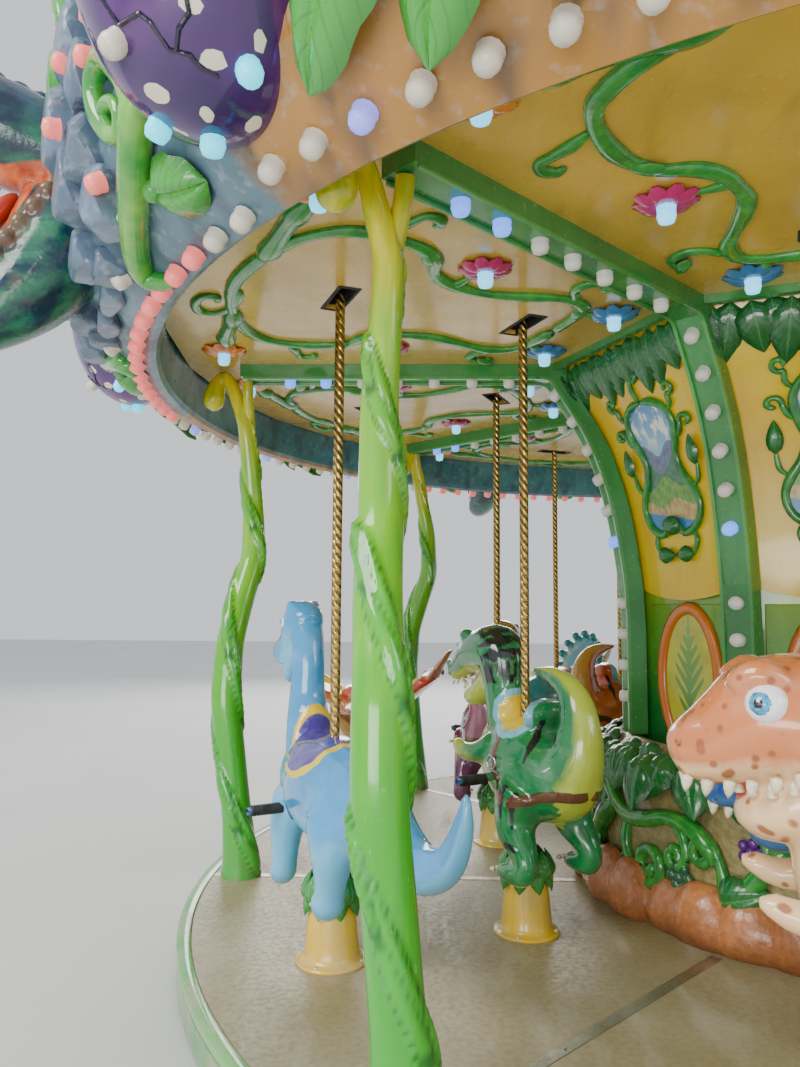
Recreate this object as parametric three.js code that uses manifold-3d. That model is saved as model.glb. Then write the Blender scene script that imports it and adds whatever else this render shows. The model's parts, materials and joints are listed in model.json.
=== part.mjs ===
// A children's carousel with sixteen dinosaur figures, standing on the ground, in millimetres with +Z up.
// The origin is on the ground at the centre, and the eight columns stand at multiples of 45 degrees.
import * as THREE from "three";
import { SimplifyModifier } from "three/addons/modifiers/SimplifyModifier.js";
import { mergeVertices } from "three/addons/utils/BufferGeometryUtils.js";
import Module from "manifold-3d";

const wasm = await Module();
wasm.setup();

// Driving dimensions
const SECTORS = 8;
const SECTOR = (2 * Math.PI) / SECTORS;
const DEGREES = 180 / Math.PI;
const FIT = 0.3; // gap between touching pieces
const DECK_SIDES = 48;
const CANOPY_SIDES = 32;
const DECK_TOP = 150;
const DECK_THICK = 40;
const DECK_RADIUS = 3040;
const SKIRT_THICK = 30;
const SKIRT_LIFT = 15; // the skirt turns clear of the ground
const COLUMN_RADIUS = 2857; // centre of a column's foot
const OUTER_ROW = 2500;
const INNER_ROW = 1683;
const BEAM_WIDTH = 130;
const BEAM_END = 2900;
const BEAM_UNDER = DECK_TOP + 2445;
const CEILING_UNDER = DECK_TOP + 2507;
const CEILING_THICK = 20;
const CANOPY_INNER = 3170; // inner face of the cornice
const CORNICE_TOP = DECK_TOP + 3350;
const ROOF_TOP = CORNICE_TOP + 620;
const ROOF_SEAT = ROOF_TOP - 60; // underside of the roof on the centre tube
const POLE_RADIUS = 19;
const POLE_LENGTH = 2600;
const POLE_FOOT = DECK_TOP + 25;
const PEDESTAL_HEIGHT = 300;
const POST_RADIUS = 100;
const POST_SIDES = 16;

// Colours
const GREEN = 0x1f8a2c;
const LIME = 0x6cbf1a;
const YELLOW = 0xe9c400;
const OCHRE = 0xc79a2e;
const STONE = 0x7f97a6;
const CLAY = 0xb8693a;
const SAND = 0x9b8a4c;
const BRASS = 0xb08d3a;
const STEEL = 0x6f7478;

// Solids

function solid(geometry) {
  const bare = geometry.clone();
  bare.deleteAttribute("normal");
  bare.deleteAttribute("uv");
  const merged = mergeVertices(bare, 1e-2);
  const index = merged.index.array;
  const triangles = [];
  for (let i = 0; i < index.length; i += 3) {
    const [a, b, c] = [index[i], index[i + 1], index[i + 2]];
    if (a !== b && b !== c && c !== a) triangles.push([a, b, c]);
  }
  const make = (faces) =>
    new wasm.Manifold(
      new wasm.Mesh({
        numProp: 3,
        vertProperties: merged.attributes.position.array,
        triVerts: new Uint32Array(faces.flat()),
      }),
    );
  const made = make(triangles);
  return made.volume() > 0 ? made : make(triangles.map(([a, b, c]) => [a, c, b]));
}

function join(pieces) {
  return wasm.Manifold.union(pieces);
}

function shell(made) {
  const { vertProperties, triVerts } = made.getMesh();
  const geometry = new THREE.BufferGeometry();
  geometry.setAttribute("position", new THREE.BufferAttribute(new Float32Array(vertProperties), 3));
  geometry.setIndex(new THREE.BufferAttribute(new Uint32Array(triVerts), 1));
  return geometry;
}

// The same body with fewer faces, so that a joined figure keeps broad, moulded facets
async function coarse(made, vertices) {
  const geometry = shell(made);
  const surplus = geometry.attributes.position.count - vertices;
  return surplus > 0 ? solid(await new SimplifyModifier().modify(geometry, surplus)) : made;
}

function place(geometry, x, y, z, turn = new THREE.Euler()) {
  const matrix = new THREE.Matrix4().makeRotationFromEuler(turn).setPosition(x, y, z);
  return geometry.applyMatrix4(matrix);
}

function box(sizeX, sizeY, sizeZ, x, y, z) {
  return solid(place(new THREE.BoxGeometry(sizeX, sizeY, sizeZ), x, y, z));
}

function upright(radiusLow, radiusHigh, low, high, sides, x = 0, y = 0) {
  const geometry = new THREE.CylinderGeometry(radiusHigh, radiusLow, high - low, sides);
  return solid(place(geometry, x, y, (low + high) / 2, new THREE.Euler(Math.PI / 2, 0, 0)));
}

// A turned body from [radius, height] points, which may be roughened like rock
function turned(profile, sides, roughness = () => 0) {
  const points = profile.map(([r, z]) => new THREE.Vector2(r, z));
  const geometry = new THREE.LatheGeometry(points, sides);
  geometry.rotateX(Math.PI / 2);
  const at = geometry.attributes.position;
  for (let i = 0; i < at.count; i += 1) {
    const reach = Math.hypot(at.getX(i), at.getY(i));
    if (reach < 1) continue;
    const angle = Math.atan2(at.getY(i), at.getX(i));
    const step = Math.round((angle / (2 * Math.PI)) * sides + sides) % sides;
    const swell = 1 + roughness(step, i % profile.length) / reach;
    at.setXY(i, at.getX(i) * swell, at.getY(i) * swell);
  }
  return solid(geometry);
}

// A rounded body of changing radius along a smooth line of [x, y, z, radius] stations.
// wide stretches its section along the side direction.
function limb(stations, { sides = 6, rings = stations.length - 1, wide = 1, side = [0, 1, 0] } = {}) {
  const path = new THREE.CatmullRomCurve3(stations.map(([x, y, z]) => new THREE.Vector3(x, y, z)));
  const girth = new THREE.CatmullRomCurve3(stations.map((s, i) => new THREE.Vector3(i * 100, s[3], 0)));
  const geometry = new THREE.CylinderGeometry(1, 1, 1, sides, rings);
  const at = geometry.attributes.position;
  for (let i = 0; i < at.count; i += 1) {
    const t = at.getY(i) + 0.5;
    const centre = path.getPoint(t);
    const along = path.getTangent(t);
    const across = new THREE.Vector3(...side);
    across.addScaledVector(along, -across.dot(along)).normalize();
    const up = new THREE.Vector3().crossVectors(along, across);
    const radius = girth.getPoint(t).y;
    centre.addScaledVector(across, at.getX(i) * radius * wide).addScaledVector(up, at.getZ(i) * radius);
    at.setXYZ(i, centre.x, centre.y, centre.z);
  }
  return solid(geometry);
}

// The same, in the figure's middle plane, from [x, z, radius] stations
function spine(stations, options) {
  return limb(stations.map(([x, z, r]) => [x, 0, z, r]), options);
}

// The same, once on each side, from [x, y, z, radius] stations
function pair(stations, options) {
  const other = stations.map(([x, y, z, r]) => [x, -y, z, r]);
  return join([limb(stations, options), limb(other, options)]);
}

function ball(rx, ry, rz, x, y, z, tilt = 0, across = 8, down = 4) {
  const geometry = new THREE.SphereGeometry(1, across, down);
  geometry.rotateX(Math.PI / 2).scale(rx, ry, rz);
  return solid(place(geometry, x, y, z, new THREE.Euler(0, tilt, 0)));
}

const FIVE = { sides: 5 };
const SIX = { sides: 6 };
const FLAT = { sides: 5, rings: 2 };

const root = new THREE.Group();

function finish(color, roughness = 0.3, metalness = 0) {
  return new THREE.MeshStandardMaterial({ color, roughness, metalness });
}

function add(name, made, material, parent = root) {
  const geometry = shell(made);
  geometry.computeVertexNormals();
  const mesh = new THREE.Mesh(geometry, material);
  mesh.name = name;
  parent.add(mesh);
  return mesh;
}

function around(makeOne, count = SECTORS) {
  return Array.from({ length: count }, (_, i) => makeOne((i * 2 * Math.PI) / count, i));
}

// Ground frame with its hub, and the fixed centre post
const FRAME_HEIGHT = 80;
const HUB_RADIUS = 400;
const ARM_LENGTH = 2700;
const ARM_HEIGHT = FRAME_HEIGHT - 10;
const FOOT_SIZE = 240;
const FOOT_THICK = 30;
const arms = around((angle) =>
  join([
    box(ARM_LENGTH, 100, ARM_HEIGHT, ARM_LENGTH / 2, 0, ARM_HEIGHT / 2),
    box(FOOT_SIZE, FOOT_SIZE, FOOT_THICK, ARM_LENGTH - FOOT_SIZE / 2, 0, FOOT_THICK / 2),
  ]).rotate([0, 0, angle * DEGREES]),
);
const hub = upright(HUB_RADIUS, HUB_RADIUS, 0, FRAME_HEIGHT, 16);
add("ground_frame", join([hub, ...arms]), finish(STEEL, 0.5, 0.6));
const POST_TOP = CEILING_UNDER - 60;
const postProfile = [
  [0, FRAME_HEIGHT + FIT],
  [220, FRAME_HEIGHT + FIT],
  [220, FRAME_HEIGHT + 12],
  [POST_RADIUS, FRAME_HEIGHT + 12],
  [POST_RADIUS, POST_TOP],
  [0, POST_TOP],
];
add("centre_post", turned(postProfile, POST_SIDES), finish(STEEL, 0.4, 0.7));

// Turning centre tube, which carries the deck on its flange
const TUBE_INNER = POST_RADIUS / Math.cos(Math.PI / POST_SIDES) + 1; // its flats clear the post's corners
const TUBE_OUTER = 150;
const TUBE_BOTTOM = FRAME_HEIGHT + 12 + FIT;
const DECK_UNDER = DECK_TOP - DECK_THICK;
const TUBE_TOP = ROOF_SEAT - FIT;
const tubeProfile = [
  [TUBE_INNER, TUBE_BOTTOM],
  [TUBE_OUTER, TUBE_BOTTOM],
  [HUB_RADIUS, DECK_UNDER - 10],
  [HUB_RADIUS, DECK_UNDER - FIT],
  [TUBE_OUTER, DECK_UNDER - FIT],
  [TUBE_OUTER, TUBE_TOP],
  [TUBE_INNER, TUBE_TOP],
  [TUBE_INNER, TUBE_BOTTOM],
];
add("centre_tube", turned(tubeProfile, POST_SIDES), finish(STEEL, 0.4, 0.7));

// Deck with the sleeve pedestals that guide the poles
const MOVING_FIT = 0.5;
const rows = [
  { name: "outer", radius: OUTER_ROW },
  { name: "inner", radius: INNER_ROW },
];
const seats = around((angle) => angle + SECTOR / 2).flatMap((angle, sector) =>
  rows.map(({ name, radius }) => ({
    name,
    sector,
    angle,
    x: radius * Math.cos(angle),
    y: radius * Math.sin(angle),
  })),
);
const pedestalProfile = [
  [0, -DECK_THICK / 2],
  [132, -DECK_THICK / 2],
  [132, 10],
  [104, 14],
  [84, 190],
  [100, 215],
  [92, PEDESTAL_HEIGHT],
  [0, PEDESTAL_HEIGHT],
];
const SLEEVE_SIDES = 8;
const SLEEVE_BORE = POLE_RADIUS + MOVING_FIT / Math.cos(Math.PI / SLEEVE_SIDES);
const pedestal = turned(pedestalProfile, SLEEVE_SIDES);
const pedestals = join(seats.map(({ x, y }) => pedestal.translate([x, y, DECK_TOP])));
const bores = join(
  seats.map(({ x, y }) =>
    upright(SLEEVE_BORE, SLEEVE_BORE, DECK_UNDER - 20, DECK_TOP + PEDESTAL_HEIGHT + 20, SLEEVE_SIDES, x, y),
  ),
);
const deckProfile = [
  [TUBE_OUTER + FIT, DECK_UNDER],
  [DECK_RADIUS - SKIRT_THICK, DECK_UNDER],
  [DECK_RADIUS - SKIRT_THICK, DECK_TOP],
  [TUBE_OUTER + FIT, DECK_TOP],
  [TUBE_OUTER + FIT, DECK_UNDER],
];
add("deck", join([turned(deckProfile, DECK_SIDES), pedestals]).subtract(bores), finish(SAND, 0.7));

const skirtProfile = [
  [DECK_RADIUS - SKIRT_THICK + FIT, SKIRT_LIFT],
  [DECK_RADIUS - 6, SKIRT_LIFT],
  [DECK_RADIUS, DECK_TOP - 14],
  [DECK_RADIUS - 8, DECK_TOP + 2],
  [DECK_RADIUS - SKIRT_THICK + FIT, DECK_TOP + 2],
  [DECK_RADIUS - SKIRT_THICK + FIT, SKIRT_LIFT],
];
add("deck_skirt", turned(skirtProfile, DECK_SIDES), finish(GREEN, 0.4));

// Vine columns: a bent stem that curls over outwards, and a straight shoot up to the beam's end.
// Stations are [outwards, sideways, height above the deck, radius].
const stem = [
  [0, 0, -30, 92],
  [3, 0, 90, 84],
  [30, 0, 350, 70],
  [88, 0, 820, 72],
  [76, -20, 1130, 68],
  [-5, -110, 1530, 62],
  [0, -112, 1850, 52],
  [30, -50, 2200, 40],
  [78, -50, 2350, 35],
  [112, -52, 2430, 33],
  [152, -55, 2460, 34],
  [188, -58, 2424, 42],
  [200, -60, 2365, 52],
  [200, -60, 2318, 30],
];
const shoot = [
  [8, -95, 1990, 34],
  [12, -60, 2200, 30],
  [16, -6, 2380, 27],
  [16, 0, 2480, 27],
];
// Leaves wrap the stem on a falling slant. Each is [turn from outwards in degrees, height] at its two ends.
const wraps = [
  [[-44, 2020], [12, 1920]],
  [[136, 1650], [192, 1450]],
  [[-44, 1510], [12, 1410]],
  [[136, 980], [192, 710]],
  [[-44, 830], [12, 600]],
];
const LEAF_LIFT = 12; // a leaf stands this far out of the stem
function stemAt(height) {
  const above = stem.findIndex((s) => s[2] > height);
  const [low, high] = [stem[above - 1], stem[above]];
  const t = (height - low[2]) / (high[2] - low[2]);
  return low.map((value, i) => value + t * (high[i] - value));
}
const wrapLeaves = wraps.map((ends) => {
  const stations = [0, 0.5, 1].map((t) => {
    const degrees = ends[0][0] + t * (ends[1][0] - ends[0][0]);
    const [x, y, z, r] = stemAt(ends[0][1] + t * (ends[1][1] - ends[0][1]));
    const reach = r - 24 + LEAF_LIFT;
    const turn = degrees / DEGREES;
    return [x + reach * Math.cos(turn), y + reach * Math.sin(turn), z, t === 0.5 ? 34 : 12];
  });
  return limb(stations, { sides: 4, wide: 1.4, side: [0, 0, 1] });
});
const column = join([limb(stem, { sides: 6 }), limb(shoot, { sides: 5 }), ...wrapLeaves])
  .translate([COLUMN_RADIUS, 0, DECK_TOP])
  .subtract(box(400, 400, 100, COLUMN_RADIUS, 0, DECK_TOP + FIT - 50))
  .subtract(box(150, 200, 100, COLUMN_RADIUS - 20, 0, BEAM_UNDER - FIT + 50));
around((angle, i) => {
  const mesh = add(`vine_column_${i + 1}`, column, finish(LIME, 0.25));
  mesh.rotation.z = angle;
});

// Roof frame: each radial beam runs on down the centre as a curved rib, and a hoop ties the eight.
// The rib's front face is a line of [radius, height above the deck] points.
const ribFront = [
  [1420, 2445],
  [1345, 2430],
  [1290, 2350],
  [1205, 2215],
  [1134, 2075],
  [1080, 1925],
  [1042, 1775],
  [1010, 1600],
  [985, 1400],
  [975, 1180],
  [975, 700],
];
const RIB_DEPTH = 75;
const WALL = 15;
const ribShape = new THREE.Shape();
ribShape.moveTo(BEAM_END, BEAM_UNDER);
ribFront.forEach(([r, z]) => ribShape.lineTo(r, z + DECK_TOP));
ribFront
  .slice(2)
  .reverse()
  .forEach(([r, z]) => ribShape.lineTo(r - RIB_DEPTH, z + DECK_TOP));
ribShape.lineTo(ribFront[1][0] - RIB_DEPTH, CEILING_UNDER - FIT);
ribShape.lineTo(BEAM_END, CEILING_UNDER - FIT);
const ribGeometry = new THREE.ExtrudeGeometry(ribShape, { depth: BEAM_WIDTH, bevelEnabled: false });
ribGeometry.translate(0, 0, -BEAM_WIDTH / 2).rotateX(Math.PI / 2);
const rib = solid(ribGeometry);
const HOOP_RADIUS = 1330;
const hoopProfile = [
  [HOOP_RADIUS, CEILING_UNDER - 34],
  [HOOP_RADIUS + 34, CEILING_UNDER - 34],
  [HOOP_RADIUS + 34, CEILING_UNDER - FIT],
  [HOOP_RADIUS, CEILING_UNDER - FIT],
  [HOOP_RADIUS, CEILING_UNDER - 34],
];
const hoop = turned(hoopProfile, SECTORS);
const ribs = around((angle) => rib.rotate([0, 0, angle * DEGREES]));
add("roof_frame", join([hoop, ...ribs]), finish(GREEN, 0.3));

// Centre: the flared panels above, the drum below, both octagons with their corners behind the ribs
const FLARE_BOTTOM = 1400;
const flareLine = ribFront.slice(2, 9).map(([r, z]) => [r - RIB_DEPTH - 1, z + DECK_TOP]);
const flareTop = [ribFront[1][0] - RIB_DEPTH - 1, CEILING_UNDER - FIT];
const flareOuter = [flareTop, ...flareLine];
const flareInner = flareOuter.map(([r, z]) => [r - WALL, z]).reverse();
add("centre_flare", turned([...flareOuter, ...flareInner, flareTop], SECTORS), finish(YELLOW, 0.25));
const DRUM_RADIUS = 975 - RIB_DEPTH - 1;
const drumProfile = [
  [DRUM_RADIUS, DECK_TOP + FIT],
  [DRUM_RADIUS, DECK_TOP + FLARE_BOTTOM - FIT],
  [DRUM_RADIUS - 25, DECK_TOP + FLARE_BOTTOM - FIT],
  [DRUM_RADIUS - 25, DECK_TOP + FIT],
  [DRUM_RADIUS, DECK_TOP + FIT],
];
add("centre_drum", turned(drumProfile, SECTORS), finish(GREEN, 0.3));

// Rockwork round the foot of the centre
function wobble(step, row) {
  return Math.sin(step * 2.399 + row * 1.7) * 0.6 + Math.sin(step * 5.1 + row * 3.3) * 0.4;
}
const ROCK_SIDES = 24;
const ROCK_INNER = 979;
const rockProfile = [
  [ROCK_INNER, DECK_TOP + FIT],
  [1112, DECK_TOP + FIT],
  [1128, DECK_TOP + 250],
  [1105, DECK_TOP + 480],
  [1050, DECK_TOP + 640],
  [ROCK_INNER, DECK_TOP + 690],
  [ROCK_INNER, DECK_TOP + FIT],
];
const bodyRough = (step, row) => (row > 1 && row < 5 ? 16 * wobble(step, row) : 0);
add("rock_base", turned(rockProfile, ROCK_SIDES, bodyRough), finish(SAND, 0.8));
const ringProfile = [
  [1150, DECK_TOP + FIT],
  [1215, DECK_TOP + FIT],
  [1232, DECK_TOP + 90],
  [1195, DECK_TOP + 190],
  [1152, DECK_TOP + 215],
  [1150, DECK_TOP + FIT],
];
const ringRough = (step, row) => (row > 0 && row < 4 ? 18 * wobble(step, row) : 0);
add("rock_ring", turned(ringProfile, ROCK_SIDES, ringRough), finish(CLAY, 0.6));

// Ceiling, with a slot for each pole's swing
const SLOT_LENGTH = 240;
const SLOT_WIDTH = 70;
const slots = join(
  seats.map(({ x, y, angle }) => {
    const cut = new THREE.BoxGeometry(SLOT_WIDTH, SLOT_LENGTH, 100);
    cut.rotateZ(angle).translate(x, y, CEILING_UNDER);
    return solid(cut);
  }),
);
const CEILING_INNER = 1180;
const ceilingProfile = [
  [CEILING_INNER, CEILING_UNDER],
  [CANOPY_INNER - FIT, CEILING_UNDER],
  [CANOPY_INNER - FIT, CEILING_UNDER + CEILING_THICK],
  [CEILING_INNER, CEILING_UNDER + CEILING_THICK],
  [CEILING_INNER, CEILING_UNDER],
];
add("ceiling", turned(ceilingProfile, CANOPY_SIDES).subtract(slots), finish(OCHRE, 0.2));

// Cornice: a rock-faced shell round the canopy, with an egg over each column
const corniceProfile = [
  [CANOPY_INNER, DECK_TOP + 2290],
  [CANOPY_INNER + 60, DECK_TOP + 2265],
  [CANOPY_INNER + 150, DECK_TOP + 2330],
  [CANOPY_INNER + 280, DECK_TOP + 2440],
  [CANOPY_INNER + 345, DECK_TOP + 2800],
  [CANOPY_INNER + 300, DECK_TOP + 3150],
  [CANOPY_INNER + 255, CORNICE_TOP],
  [CANOPY_INNER + 195, CORNICE_TOP],
  [CANOPY_INNER + 265, DECK_TOP + 2800],
  [CANOPY_INNER + 190, DECK_TOP + 2500],
  [CANOPY_INNER + 40, DECK_TOP + 2400],
  [CANOPY_INNER + 40, CEILING_UNDER + 60],
  [CANOPY_INNER, CEILING_UNDER + 60],
  [CANOPY_INNER, DECK_TOP + 2290],
];
const faceRough = (step, row) => (row > 1 && row < 6 ? 26 * wobble(step, row) : 0);
const face = corniceProfile.slice(1, 7);
function faceRadius(height) {
  const above = Math.max(1, face.findIndex(([, z]) => z > height + DECK_TOP));
  const [[r0, z0], [r1, z1]] = [face[above - 1], face[above]];
  return r0 + ((r1 - r0) * (height + DECK_TOP - z0)) / (z1 - z0);
}

// A frame on the face at degrees round the ride and a height above the deck
function faceFrame(degrees, height) {
  const turn = degrees / DEGREES;
  const rise = 60;
  const run = faceRadius(height + rise / 2) - faceRadius(height - rise / 2);
  const out = new THREE.Vector3(rise * Math.cos(turn), rise * Math.sin(turn), -run).normalize();
  const side = new THREE.Vector3(-Math.sin(turn), Math.cos(turn), 0);
  const reach = faceRadius(height);
  const spot = new THREE.Vector3(reach * Math.cos(turn), reach * Math.sin(turn), height + DECK_TOP);
  return { spot, out, side, over: new THREE.Vector3().crossVectors(out, side) };
}

// A leaf on the face. heading 0 points up and 180 down, and it droops inwards by a share of its reach.
function faceLeaf([degrees, height, heading, reach, width, droop]) {
  const { spot, out, side, over } = faceFrame(degrees, height);
  const turn = heading / DEGREES;
  const along = over.multiplyScalar(Math.cos(turn)).addScaledVector(side, Math.sin(turn));
  const stations = [[0, -60, 14], [0.5, 80, 16], [1, 45, 3]].map(([t, lift, r]) => {
    const at = spot.clone().addScaledVector(along, reach * t);
    at.addScaledVector(out, lift - droop * reach * t * t);
    return [...at.toArray(), r];
  });
  const across = new THREE.Vector3().crossVectors(out, along).toArray();
  return limb(stations, { sides: 4, wide: width / 32, side: across });
}

// Eggs over the columns
const EGG_RADIUS = 3455;
const EGG_HEIGHT = DECK_TOP + 2755;
const eggs = around((angle) => {
  const [x, y] = [EGG_RADIUS * Math.cos(angle), EGG_RADIUS * Math.sin(angle)];
  return ball(320, 320, 440, x, y, EGG_HEIGHT, 0, 8, 6);
});

// Boulders, thick vines and upright leaves on one half of a rock sector, in degrees from its middle
const boulders = [
  [6.4, 2770, 105, 125],
  [7.6, 2560, 100, 115],
  [9.0, 2960, 110, 115],
];
const BOULDER_DEPTH = 85;
function boulderAt([degrees, height, wide, tall], grow) {
  const { spot } = faceFrame(degrees, height);
  const made = ball(BOULDER_DEPTH + grow, wide + grow, tall + grow, 0, 0, 0, 0, 5, 3);
  return made.rotate([0, 0, degrees]).translate(spot.toArray());
}
const VINE_GIRTH = 46;
const vineLine = [
  [11.1, 2640, 0.5],
  [12.1, 2800, 0.9],
  [16.3, 2640, 1.05],
  [13.1, 2385, 1],
  [8.1, 2300, 0.7],
];
const sprouts = [
  [12, 3020, 35, 400, 220, -0.04],
  [9.5, 2980, -12, 420, 240, -0.04],
];
const mirrored = (values) => [-values[0], ...values.slice(1)];
function rockHalf(mirror, grow = 0) {
  const at = mirror ? mirrored : (values) => values;
  const vine = vineLine.map(([degrees, height, share]) => {
    const { spot, out } = faceFrame(at([degrees])[0], height);
    const girth = share * VINE_GIRTH;
    return [...spot.addScaledVector(out, girth * 0.6).toArray(), girth];
  });
  const leaves = sprouts.map(([degrees, height, heading, ...rest]) =>
    faceLeaf([at([degrees])[0], height, at([heading])[0], ...rest]),
  );
  const stones = boulders.map((values) => boulderAt(at(values), grow));
  return [limb(vine, { sides: 4, side: [1, 0, 0.2] }), ...leaves, ...stones];
}
const rockGrowth = join([...rockHalf(false), ...rockHalf(true)]);
const rockRoom = join([...rockHalf(false, FIT), ...rockHalf(true, FIT)]);

// Leaves that hang over the other sectors, in degrees from the sector's middle
const hangingLeaves = join(
  [
    [-13.5, 2700, 182, 420, 235, 0.3],
    [-10.9, 2640, 174, 360, 150, 0.3],
    [-17.3, 2740, 190, 400, 230, 0.3],
    [0, 2760, 178, 440, 240, 0.3],
    [3.3, 2700, 186, 380, 200, 0.3],
    [13.7, 2700, 178, 420, 235, 0.3],
    [17.3, 2740, 170, 400, 230, 0.3],
  ].map(faceLeaf),
);
const growth = around((angle, i) => {
  const kind = i % 2 ? hangingLeaves : rockGrowth;
  return kind.rotate([0, 0, (angle + SECTOR / 2) * DEGREES]);
});
const cornice = join([turned(corniceProfile, CANOPY_SIDES, faceRough), ...eggs, ...growth]);
add("cornice", cornice, finish(STONE, 0.5));

// Roof cone, on the cornice and round the centre tube
const ROOF_EDGE = CANOPY_INNER + 270;
const ROOF_THICK = 30;
const roofProfile = [
  [0, ROOF_SEAT],
  [200, ROOF_SEAT],
  [CANOPY_INNER + 180, CORNICE_TOP + FIT],
  [ROOF_EDGE, CORNICE_TOP + FIT],
  [ROOF_EDGE, CORNICE_TOP + ROOF_THICK],
  [260, ROOF_TOP],
  [200, ROOF_TOP + 120],
  [0, ROOF_TOP + 150],
];
add("roof", turned(roofProfile, 24), finish(GREEN, 0.5));

// Dinosaur head busts on every other sector of the cornice
const BUST_VERTICES = 105;
const bustPieces = join([
  ball(170, 200, 270, -50, 0, 2800, 0, 8, 5),
  spine(
    [[0, 3000, 200], [120, 3070, 215], [260, 3090, 180], [400, 3050, 140], [520, 2990, 108], [606, 2940, 40]],
    { wide: 0.95 },
  ),
  spine(
    [[-20, 2660, 190], [50, 2450, 180], [130, 2310, 150], [230, 2210, 120], [330, 2150, 90], [400, 2120, 40]],
    { wide: 1.1 },
  ),
  pair([[150, 110, 3200, 60], [220, 120, 3240, 66], [290, 105, 3205, 40]], FIVE),
]);
const bustHead = await coarse(bustPieces, BUST_VERTICES);
const BUST_REACH = 3490;
const FACE_ROWS = 7;
const filledProfile = [
  [0, corniceProfile[0][1]],
  ...corniceProfile.slice(0, FACE_ROWS).map(([r, z]) => [r + FIT, z]),
  [0, CORNICE_TOP],
];
const filledCornice = turned(filledProfile, CANOPY_SIDES, (step, row) => faceRough(step, row - 1));
[0, 2, 4, 6].forEach((sector, i) => {
  const angle = (sector + 0.5) * SECTOR;
  const placed = bustHead
    .translate([BUST_REACH, 0, DECK_TOP])
    .subtract(rockRoom)
    .rotate([0, 0, angle * DEGREES])
    .subtract(filledCornice);
  const whole = placed.decompose().sort((a, b) => b.volume() - a.volume())[0];
  add(`dinosaur_bust_${i + 1}`, whole, finish(GREEN, 0.35));
});

// Figures. Each mould faces +X with its pole on the Z axis, in heights above the deck.

const FIGURE_VERTICES = 175;

function saddle(height, long = 190, wide = 175) {
  return ball(long, wide, 70, -10, 0, height);
}

function footBar(x, z) {
  return limb([[x, -270, z, 15], [x, 0, z, 15], [x, 270, z, 15]], { sides: 4, rings: 1, side: [1, 0, 0] });
}

async function rider(pieces, bar) {
  return join([await coarse(join(pieces), FIGURE_VERTICES), footBar(...bar)]);
}

function longneck() {
  return rider([
    spine(
      [
        [310, 640, 60], [215, 640, 150], [60, 620, 192], [-120, 605, 200], [-290, 590, 165],
        [-460, 540, 112], [-640, 500, 84], [-790, 545, 60], [-875, 660, 38], [-900, 780, 12],
      ],
      { wide: 0.86, rings: 8, sides: 7 },
    ),
    spine(
      [
        [165, 660, 125], [250, 800, 92], [275, 960, 70],
        [268, 1120, 66], [300, 1230, 68], [345, 1262, 34],
      ],
    ),
    spine([[270, 1235, 50], [330, 1215, 82], [430, 1135, 68], [515, 1075, 60], [550, 1050, 26]], SIX),
    spine([[350, 1130, 34], [415, 1030, 40], [440, 985, 18]], { sides: 4 }),
    pair([[190, 80, 590, 85], [222, 100, 440, 70], [215, 105, 330, 50], [245, 105, 268, 46]], FIVE),
    pair([[-195, 85, 590, 110], [-215, 100, 430, 85], [-205, 102, 330, 58], [-185, 102, 262, 62]], FIVE),
    saddle(815),
  ], [165, 530]);
}

function biped(tail, headParts) {
  return rider([
    spine(tail, { wide: 0.88, rings: 8, sides: 7 }),
    ...headParts,
    pair([[70, 100, 725, 62], [215, 150, 690, 40], [290, 150, 715, 26]], FIVE),
    pair([[-150, 105, 600, 118], [-130, 145, 470, 88], [-205, 158, 370, 52], [-195, 160, 310, 48]], FIVE),
    pair([[-240, 160, 300, 38], [-140, 162, 288, 40], [-60, 165, 276, 18]], FLAT),
    saddle(842),
  ], [80, 600]);
}

function tyrannosaur() {
  return biped(
    [
      [185, 740, 60], [120, 705, 150], [0, 665, 192], [-130, 650, 196], [-240, 665, 176],
      [-310, 730, 120], [-330, 830, 92], [-318, 925, 72], [-270, 992, 54],
      [-185, 1028, 38], [-60, 1046, 10],
    ],
    [
      spine(
        [
          [95, 770, 100], [140, 950, 92], [146, 1030, 104], [175, 1100, 116],
          [300, 1105, 104], [400, 1065, 80], [500, 1012, 54], [560, 998, 18],
        ],
        { rings: 9 },
      ),
      spine([[190, 1010, 50], [320, 915, 52], [415, 895, 22]], FIVE),
    ],
  );
}

function bighead(lift) {
  const raised = ([x, z, r]) => [x, z + lift, r];
  return biped(
    [
      [165, 690, 80], [60, 640, 178], [-100, 610, 202], [-260, 595, 168], [-420, 565, 112],
      [-570, 575, 70], [-680, 645, 42], [-720, 735, 12],
    ],
    [
      spine([[90, 720, 125], raised([110, 880, 112]), raised([125, 985, 100])]),
      spine(
        [
          [85, 1005, 70], [130, 1040, 124], [190, 1052, 148], [262, 1052, 142],
          [350, 1012, 108], [430, 984, 74], [472, 975, 26],
        ].map(raised),
      ),
      spine(
        [[110, 930, 84], [200, 884, 88], [300, 862, 56], [334, 868, 20]].map(raised),
        { sides: 6, wide: 1.2 },
      ),
    ],
  );
}

function pterosaur() {
  return rider([
    spine(
      [
        [255, 700, 50], [180, 690, 120], [20, 655, 150], [-150, 640, 140],
        [-320, 645, 85], [-450, 680, 42], [-530, 720, 10],
      ],
    ),
    spine(
      [
        [180, 740, 90], [285, 870, 60], [330, 975, 62],
        [390, 1025, 74], [510, 995, 48], [650, 950, 12],
      ],
    ),
    spine([[370, 1050, 42], [270, 1125, 30], [185, 1180, 8]], FLAT),
    pair(
      [[20, 80, 680, 36], [0, 280, 790, 32], [-40, 420, 900, 26], [-80, 520, 1030, 12]],
      { side: [1, 0, 0], wide: 5.5 },
    ),
    pair([[-170, 70, 600, 70], [-165, 105, 430, 48], [-185, 112, 320, 36], [-150, 112, 275, 30]], FIVE),
    saddle(790),
  ], [80, 600]);
}

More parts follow.
